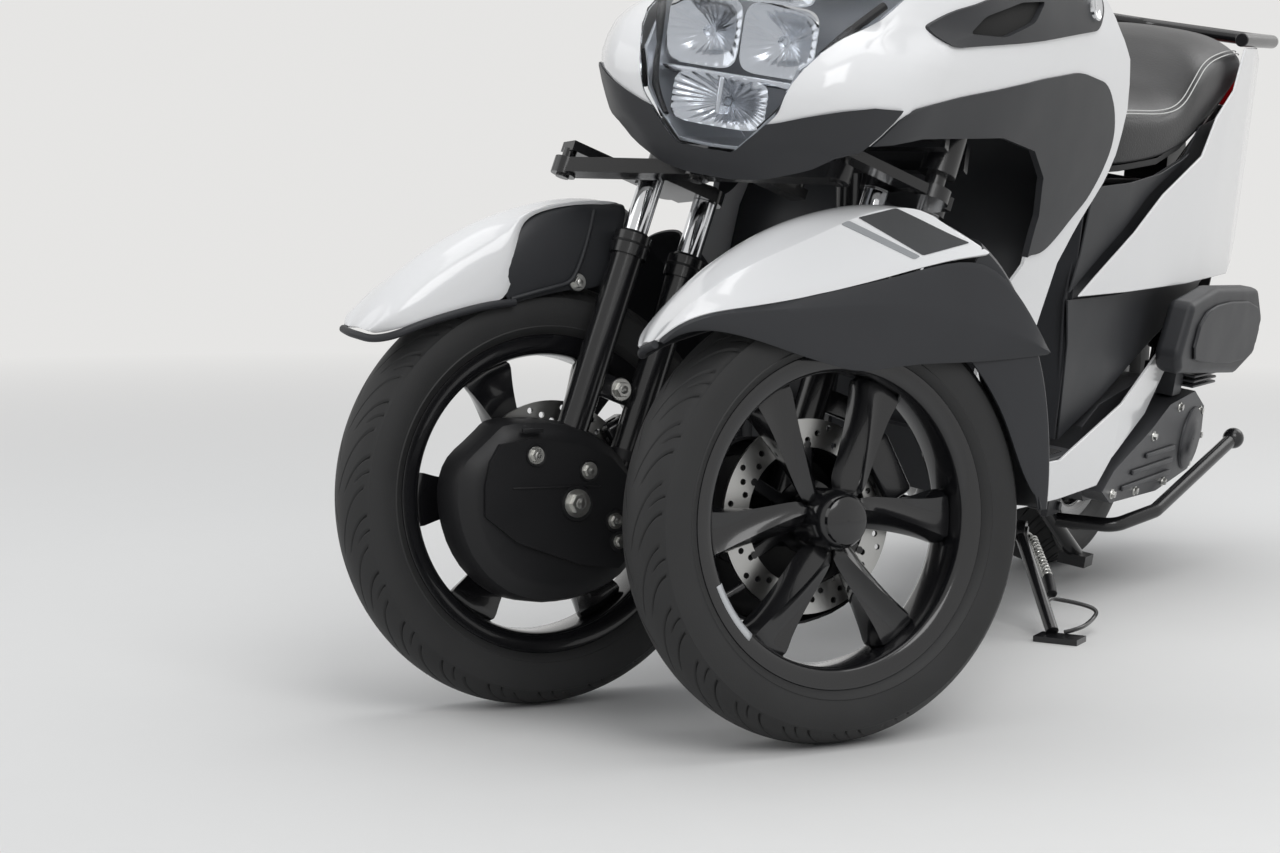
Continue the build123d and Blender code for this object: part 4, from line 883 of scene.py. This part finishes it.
def seat():
    """Stepped cushion with a double stitched seam on each flank."""
    rows = []
    for y, w, b, s, c in SEAT:
        foot, bulge = b + 11, 0.45 * b + 0.55 * s
        line = ((-w, foot), (-w - 2, bulge), (-w + 5, s - 4), (-0.62 * w, c - 5), (-0.25 * w, c - 1),
                (0.25 * w, c - 1), (0.62 * w, c - 5), (w - 5, s - 4), (w + 2, bulge), (w, foot),
                (0.5 * w, foot), (-0.5 * w, foot))
        rows.append([(x, y, z) for x, z in line])
    bm = loft(rows, closed=True, creased=(0, 9), caps=True)
    o = finish_piece("seat_cover", bm, CHASSIS, "seat_leather", "seat", replaces=("seat_cushion",), subdiv=3)
    for s in (1, -1):
        seams = bmesh.new()
        for shift in (0, 7):
            line = [(s * (w - 4 - shift * 0.8), y, sd - 3 + shift * 0.55) for y, w, b, sd, c in SEAT[1:-1]]
            merge(seams, tube(line, 0.9, 6))
        finish_piece("seat_seam_" + SIDE_NAME[s], seams, CHASSIS, "seat_leather", "seat", material="stitch")


# Fork legs: kingpin heights of the seal, the bright tube's top and the clamp
SEAL_Z, BRIGHT_Z, CLAMP_Z, BRIDGE_Z = 520, 606, 300, 372
# Caliper: radius from the axle, angle behind and above it
CALIPER_R, CALIPER_UP = 104, math.radians(28)


def fork_trim(side):
    """Bright tubes, seals, bridge and caliper of one fork."""
    n = SIDE_NAME[side]
    up = Vector((0, math.sin(CASTER), math.cos(CASTER)))
    bright, rings = bmesh.new(), bmesh.new()
    for dy in (-TANDEM, TANDEM):
        low, high = on_fork(side, dy, SEAL_Z) + up * 19, on_fork(side, dy, BRIGHT_Z)
        merge(bright, rod(low, high, 14.6, 32))
        merge(rings, rod(low - up * 0.5, low + up * 5, 19.5, 32, r2=16.5))
        merge(rings, rod(low - up * 12, low - up * 9, 23.1, 32))
        merge(rings, rod(low - up * 7, low - up * 1, 21.5, 32))
        merge(rings, rod(on_fork(side, dy, CLAMP_Z), on_fork(side, dy, CLAMP_Z + 12), 20.4, 32))
    fork_piece(side, "fork_chrome_" + n, bright, "black_metal", material="chrome")
    fork_piece(side, "fork_rings_" + n, rings, "black_metal", material="black_plastic", bevel=0.6)
    plate = on_fork(side, 0, BRIDGE_Z)
    bridge = rounded_box((-5, -40, -14), (5, 40, 14), 3)
    bridge.transform(Matrix.Translation(plate) @ Matrix.Rotation(-CASTER, 4, "X"))
    fork_piece(side, "fork_bridge_" + n, bridge, "black_metal")
    bolts = hex_bolt((plate.x - side * 5, plate.y + 4, plate.z), (-side, 0, 0), 17, 10)
    fork_piece(side, "fork_bolt_" + n, bolts, "black_metal", material="zinc", bevel=0.5)
    at = Vector((side * (HALF_TRACK - FRONT_HUB_W / 2 - DISC_OUT), CALIPER_R * math.cos(CALIPER_UP),
                 FRONT_R + CALIPER_R * math.sin(CALIPER_UP)))
    pads = carved(rounded_box((-20, -13, -38), (20, 26, 38), 6),
                  rounded_box((-3.6, -60, -60), (3.6, 13, 60), 1, 1))
    merge(pads, rod((-side * 24, 4, -22), (-side * 24, 4, 22), 7))
    pads.transform(Matrix.Translation(at) @ Matrix.Rotation(CALIPER_UP, 4, "X"))
    fork_piece(side, "caliper_" + n, pads, "black_metal", smooth=30, bevel=0.8)


# Hub cover: outline (y, z), its middle, steps (depth inward of the tubes, share of the outline), raised face
COVER = ((-150, 232), (-146, 288), (-108, 322), (-84, 342), (20, 336), (88, 280), (96, 200), (74, 152),
         (4, 126), (-70, 130), (-124, 170))
COVER_Y, COVER_Z = -34, 236
COVER_STEPS = ((-26, 1.0), (6, 0.985), (18, 0.95), (25, 0.87), (28, 0.76), (28.2, 0.4))
COVER_RAISED = ((-116, 214), (-116, 282), (-90, 322), (34, 306), (76, 262), (78, 190), (46, 158))
COVER_FACE = 33
# Its small bolts: (y, z, size), and the large one's place
COVER_BOLTS = ((-53, 299, 13), (15, 280, 13), (49, 221, 12), (55, 197, 11))
COVER_NUT = (-1, 243)


def hub_cover(side):
    """Softened cover with its crease, bolts, slot and recess."""
    name = "hub_cover_" + SIDE_NAME[side]
    inner = side * (TUBE_X - COVER_STEPS[-1][0])
    rows = [[(side * (TUBE_X - x), COVER_Y + (y - COVER_Y) * k, COVER_Z + (z - COVER_Z) * k)
             for y, z in cornered(COVER)] for x, k in COVER_STEPS]
    bm = loft(rows, closed=True)
    last = [e for e in bm.edges if e.is_boundary and abs(e.verts[0].co.x - inner) < 1]
    bmesh.ops.holes_fill(bm, edges=last, sides=0)
    level = [e for e in bm.edges if abs(e.verts[0].co.x - e.verts[1].co.x) < 0.1]
    bmesh.ops.subdivide_edges(bm, edges=level, cuts=1, smooth=0.6, use_grid_fill=True)
    turn_out(bm, (inner, COVER_Y, COVER_Z), (-side, 0, 0))
    bm = applied(bm, "SOLIDIFY", thickness=3.0, offset=-1.0)
    for dy in (-TANDEM, TANDEM):
        bm = carved(bm, rod(on_fork(side, dy, 226), on_fork(side, dy, 440), 19.6, 32))
    face = side * (TUBE_X - COVER_FACE)
    merge(bm, prism(cornered(COVER_RAISED), "side", *sorted((side * (TUBE_X - 22), face))))
    fork_piece(side, name + "_shell", bm, "black_plastic", replaces=(name,), smooth=30, bevel=2.4, segments=3)
    out = (-side, 0, 0)
    bolts, cups = bmesh.new(), bmesh.new()
    for y, z, size in COVER_BOLTS:
        merge(cups, revolved([(0, 8), (0, 13), (2.2, 12.4), (1.2, 8)], steps=32),
              Matrix.Translation((face, y, z)) @ Matrix.Scale(-side, 4, (1, 0, 0)))
        merge(bolts, hex_bolt((face, y, z), out, size, 7))
    nut = (face, *COVER_NUT)
    merge(bolts, hex_bolt(nut, out, 21, 12))
    merge(cups, revolved([(0, 14), (0, 21), (3, 20), (2, 15)], steps=40),
          Matrix.Translation(nut) @ Matrix.Scale(-side, 4, (1, 0, 0)))
    merge(cups, rounded_box((-2.6, -13, -2.5), (2.6, 13, 2.5), 1), Matrix.Translation((face, -57, 327)))
    merge(cups, rounded_box((-1.5, -52, -1.2), (1.5, 60, 1.2), 1), Matrix.Translation((face, -30, 262)))
    bmesh.ops.recalc_face_normals(cups, faces=cups.faces)
    fork_piece(side, name + "_bolts", bolts, "black_plastic", material="zinc", bevel=0.5)
    fork_piece(side, name + "_cups", cups, "black_plastic", smooth=35)


def plate_frame(at, x_dir, z_dir):
    """Matrix of a plane from its origin, x direction and normal."""
    x, z = Vector(x_dir).normalized(), Vector(z_dir).normalized()
    x = (x - z * x.dot(z)).normalized()
    return Matrix.Translation(at) @ Matrix((x, z.cross(x), z)).transposed().to_4x4()


# Mirror stem, left: points; grip: its inner and outer end
STEM = ((226, 352, 1062.2), (226, 352, 1078), (234, 342, 1096), (250, 322, 1116), (276, 310, 1130),
        (306, 299, 1140))
GRIP = ((248, 363.8, 1034.8), (352, 398, 1012))
GRIP_RIBS = 14


def mirrors_and_grips():
    """Mirror stems, heads and glasses, and ribbed grips, on the turned bars."""
    heads, glasses, grips = bmesh.new(), bmesh.new(), bmesh.new()
    for s in (1, -1):
        line = [(s * x, y, z) for x, y, z in STEM]
        merge(heads, tube(line, 5.8, 16))
        merge(heads, rod(line[0], (s * 226, 352, 1069), 10, 6))
        place = plate_frame((s * 312, 296, 1150), (s, 0, 0.2), (0, 1, -0.1))
        merge(heads, rounded_box((-61, -39, -13), (61, 39, 13), 12, 5), place)
        merge(glasses, rounded_box((-52, -30, 12.6), (52, 30, 13.6), 0.4, 1), place)
        low, high = [Vector((s * x, y, z)) for x, y, z in GRIP]
        for i in range(GRIP_RIBS):
            at = low.lerp(high, (i + 0.7) / (GRIP_RIBS + 0.6))
            merge(grips, rod(at, at + (high - low).normalized() * 3.6, 16.9, 28))
        merge(grips, rod(low, low.lerp(high, 0.03), 19, 28))
    finish_piece("mirror_heads", heads, STEERED, "mirror_black", "steering", replaces=("mirrors",), smooth=45)
    finish_piece("mirror_glasses", glasses, STEERED, "mirror_black", "steering", material="mirror_glass")
    finish_piece("grip_ribs", grips, STEERED, "black_metal", "steering", material="black_plastic", bevel=0.6)


def side_stand_trim():
    """Return spring with its sleeve, and the foot loop, on the leg, in row millimetres."""
    pivot = Vector(JOINT["side_stand_fold"]["pos_m"]) / MM
    ankle = Vector((pivot.x + 91, pivot.y - 115, 12))
    place = Matrix.Scale(MM, 4)
    top, mid = pivot + Vector((10, 26, -14)), pivot.lerp(ankle, 0.5) + Vector((8, 30, 0))
    low = pivot.lerp(ankle, 0.66) + Vector((8, 24, 0))
    spring = coil(top, mid, 6.4, 1.4, 13)
    merge(spring, tube([pivot + Vector((6, 6, -4)), pivot + Vector((10, 24, -4)), top], 1.6))
    finish_piece("stand_spring", spring, place, "black_metal", "side_stand", material="zinc")
    sleeve = rod(mid, low, 8.4, 24, r2=7.4)
    finish_piece("stand_sleeve", sleeve, place, "black_metal", "side_stand", material="black_plastic",
                 bevel=1)
    start, end = pivot.lerp(ankle, 0.74), ankle + Vector((16, 4, 0))
    loop = [start, start + Vector((4, 16, 6))]
    loop += [low + Vector(p) for p in ((0, 2, -6), (34, 26, -14), (56, 34, -22), (52, 26, -34))]
    loop += [end + Vector((18, 14, 4)), end]
    finish_piece("stand_loop", tube(loop, 3), place, "black_metal", "side_stand")


# Drive case, its left face and bolts; air box outline (y, z); shock ends; silencer's axis
CASE_X = 199
CASE_BOLTS = ((1012, 196), (1130, 188), (1280, 186), (1404, 204), (1448, 246), (1426, 288), (1300, 304),
              (1180, 268))
CASE_RIBS = ((1050, 196), (1090, 216), (1150, 236))
AIR_BOX = ((1180, 396), (1200, 462), (1310, 478), (1520, 470), (1566, 432), (1556, 388), (1480, 370),
           (1256, 384))
SHOCK_X = 108
SHOCK_LOW, SHOCK_HIGH = (1436, 392), (1402, 548)
SILENCER = ((-170, 1130, 226), (-182, 1600, 360))


def rear_trim():
    """Drive case bolts, boss and fins, air box face, shock springs, silencer shield and tail pipe."""
    bolts, case = bmesh.new(), bmesh.new()
    for y, z in CASE_BOLTS:
        merge(bolts, hex_bolt((CASE_X, y, z), (1, 0, 0), 10, 6))
    chassis_piece("drive_bolts", bolts, "engine_grey", material="zinc", bevel=0.4)
    boss = revolved([(0, 1), (0, 52), (4, 50), (6, 44), (6, 30), (8, 27), (8, 1)], steps=64,
                    centre=(CASE_X, 1390, 246))
    merge(case, boss)
    for y, z in CASE_RIBS:
        merge(case, rounded_box((CASE_X, y, z), (CASE_X + 5, 1300, z + 8), 2))
    for z in (333, 341, 349):
        merge(case, rounded_box((158, 1330, z), (206, 1462, z + 4), 1.5))
    chassis_piece("drive_trim", case, "engine_grey", smooth=35, bevel=0.8)
    chassis_piece("air_box_face", prism(cornered(AIR_BOX), "side", 229, 236), "dark_grey_plastic", smooth=35,
                  bevel=3.5, segments=3)
    springs, pipes = bmesh.new(), bmesh.new()
    for s in (1, -1):
        merge(springs, coil((s * SHOCK_X, *SHOCK_LOW), (s * SHOCK_X, *SHOCK_HIGH), 21, 3.2, 9))
        for y, z in ((1437.5, 388), (1401, 554)):
            merge(springs, rod((s * SHOCK_X, y, z - 3), (s * SHOCK_X, y - 1.3, z + 3), 25, 32))
    chassis_piece("shock_springs", springs, "black_metal", bevel=0.4)
    low, high = [Vector(p) for p in SILENCER]
    along = (high - low).normalized()
    merge(pipes, rod(high, high + along * 5, 38, 40))
    merge(pipes, rod(high, high + along * 14, 17, 32))
    for k in (0.02, 0.94):
        merge(pipes, rod(low.lerp(high, k), low.lerp(high, k) + along * 10, 53.4, 48))
    chassis_piece("muffler_trim", pipes, "black_metal", material="zinc", bevel=1.2)
    rows = []
    outer = (Vector((-1, 0, 0)) + along * along.x).normalized()
    for i in range(13):
        a = math.radians(-70 + 140 * i / 12)
        out = outer * math.cos(a) + along.cross(outer) * math.sin(a)
        rows.append([low.lerp(high, k) + out * 57 for k in (0.14, 0.2, 0.5, 0.8, 0.86)])
    shield = turn_out(loft(rows), rows[6][2], (-1, 0, 0))
    chassis_piece("muffler_shield", shield, "black_metal", material="black_plastic", solid=2.5, bevel=0.8,
                  smooth=50)


# Side fillers: outline (y, z), and (y, x at z = 250, x at z = 900) of the surface that they lie under
FILLER = ((838, 480), (848, 300), (1000, 344), (1390, 472), (1500, 512), (1500, 700), (1400, 752),
          (1300, 738), (1240, 690), (1130, 660), (1010, 644), (890, 634), (862, 545))
FILLER_SPAN = ((800, 158, 96), (1000, 164, 134), (1250, 160, 152), (1550, 156, 140))


def side_fillers():
    """Dark panels behind the seams of the side panels and tail covers."""
    for s in (1, -1):
        rows = [[(s * (low - 5), y, 250), (s * (high - 5), y, 900)] for y, low, high in FILLER_SPAN]
        sheet = turn_out(loft(rows), (s * 150, 1100, 500), (s, 0, 0))
        sheet = applied(sheet, "SOLIDIFY", thickness=2.5, offset=-1.0)
        filler = carved(sheet, prism(FILLER, "side", *sorted((s * 60, s * 240))), "INTERSECT")
        chassis_piece("side_filler_" + SIDE_NAME[s], filler, "dark_grey_plastic", bevel=0.5)


def floor_ribs():
    """Grip ribs across both foot boards."""
    ribs = bmesh.new()
    for s in (1, -1):
        near, far = sorted((s * 96, s * 178))
        for y in range(520, 520 + 32 * 9, 9):
            merge(ribs, rounded_box((near, y, 275.5), (far, y + 4, 277.6), 0.8, 1))
    chassis_piece("floor_ribs", ribs, "dark_grey_plastic", material="black_plastic", smooth=30)


# Studio: the floor fades into the background between two distances, in metres
FLOOR_COLOUR = (0.74, 0.735, 0.72)
FAR_COLOUR = (0.79, 0.785, 0.775, 1)
SKY_COLOUR, SKY_STRENGTH = (0.92, 0.95, 1.0, 1), 0.5
FADE_START, FADE_END = 1.6, 5.0
# Lamps: name, place, size, watts
LAMPS = (("key", (2.2, -2.6, 3.2), 2.4, 62), ("fill", (-3.2, -2.4, 2.2), 3.0, 26),
         ("top", (0.2, 0.3, 4.2), 3.6, 60), ("rim_light", (1.5, 3.0, 2.6), 2.0, 26))


def seen_rays(tree):
    """Node that is 1 for the rays that show the background: camera, glossy and transmission."""
    rays = tree.nodes.new("ShaderNodeLightPath")
    first, last = [tree.nodes.new("ShaderNodeMath") for i in range(2)]
    first.operation = last.operation = "MAXIMUM"
    link(tree, rays, "Is Camera Ray", first, 0)
    link(tree, rays, "Is Glossy Ray", first, 1)
    link(tree, first, "Value", last, 0)
    link(tree, rays, "Is Transmission Ray", last, 1)
    return last


def mixed(tree, share, near, far, output):
    """Mixes two shaders by a node's value, for the tree's output."""
    mix = tree.nodes.new("ShaderNodeMixShader")
    link(tree, share, "Value", mix, "Fac")
    link(tree, near, 0, mix, 1)
    link(tree, far, 0, mix, 2)
    link(tree, mix, 0, tree.nodes[output], 0)


def studio():
    """Pale floor, plain backdrop colour and four soft lamps."""
    floor = bmesh.new()
    bmesh.ops.create_grid(floor, x_segments=1, y_segments=1, size=60)
    mesh = bpy.data.meshes.new("floor")
    floor.to_mesh(mesh)
    floor.free()
    o = bpy.data.objects.new("floor", mesh)
    bpy.context.scene.collection.objects.link(o)
    m = surface("floor", FLOOR_COLOUR, 0.75, vary=0.01)
    t = m.node_tree
    place = t.nodes.new("ShaderNodeTexCoord")
    reach = t.nodes.new("ShaderNodeVectorMath")
    reach.operation = "LENGTH"
    link(t, place, "Object", reach, "Vector")
    fade = t.nodes.new("ShaderNodeMapRange")
    fade.inputs["From Min"].default_value = FADE_START
    fade.inputs["From Max"].default_value = FADE_END
    link(t, reach, "Value", fade, "Value")
    glow = t.nodes.new("ShaderNodeEmission")
    glow.inputs["Color"].default_value = FAR_COLOUR
    share = t.nodes.new("ShaderNodeMath")
    share.operation = "MULTIPLY"
    link(t, fade, "Result", share, 0)
    link(t, seen_rays(t), "Value", share, 1)
    mixed(t, share, t.nodes["Principled BSDF"], glow, "Material Output")
    mesh.materials.append(m)
    world = bpy.data.worlds.new("studio")
    world.use_nodes = True
    bpy.context.scene.world = world
    t = world.node_tree
    back = t.nodes["Background"]
    back.inputs["Color"].default_value = SKY_COLOUR
    back.inputs["Strength"].default_value = SKY_STRENGTH
    seen = t.nodes.new("ShaderNodeBackground")
    seen.inputs["Color"].default_value = FAR_COLOUR
    mixed(t, seen_rays(t), back, seen, "World Output")
    for name, at, size, watts in LAMPS:
        light = bpy.data.lights.new(name, "AREA")
        light.energy = watts
        light.size = size
        lamp = bpy.data.objects.new(name, light)
        bpy.context.scene.collection.objects.link(lamp)
        lamp.location = at
        lamp.rotation_euler = (Vector((0, 0, 0.5)) - Vector(at)).to_track_quat("-Z", "Y").to_euler()


# Nodes that new pieces replace, and the wider bevels of the others
REMADE = {"headlight_lens", "windscreen", "front_cowl", "lower_cowl", "seat_cushion", "mirrors", "tyre_rear",
          "rim_rear", "disc_rear"}
REMADE |= {k + n for n in ("left", "right") for k in ("fender_", "fender_skirt_", "hub_cover_", "tyre_front_",
                                                      "rim_front_", "disc_front_")}
BEVELS = {"air_cleaner_box": 12, "tail_covers": 1.8, "grab_rail": 2, "belt_case": 7, "engine_block": 3,
          "muffler": 5, "handlebar_cover": 3, "lean_linkage": 2, "side_stand": 2, "centre_stand": 2,
          "tail_lamp": 3, "rear_shocks": 1.5}

place_camera()
studio()
for node in frame["nodes"]:
    if node not in REMADE:
        wide = BEVELS.get(node, 1.2)
        dressed(node, wide, 3 if wide > 2 else 2, "lamp_housing" if node == "headlight_housing" else None)
tyres()
wheels()
for side in (1, -1):
    fender(side)
    fork_trim(side)
    hub_cover(side)
front_body()
headlamp()
screen()
seat()
mirrors_and_grips()
side_stand_trim()
rear_trim()
floor_ribs()
side_fillers()

bpy.context.scene.view_settings.view_transform = "Standard"
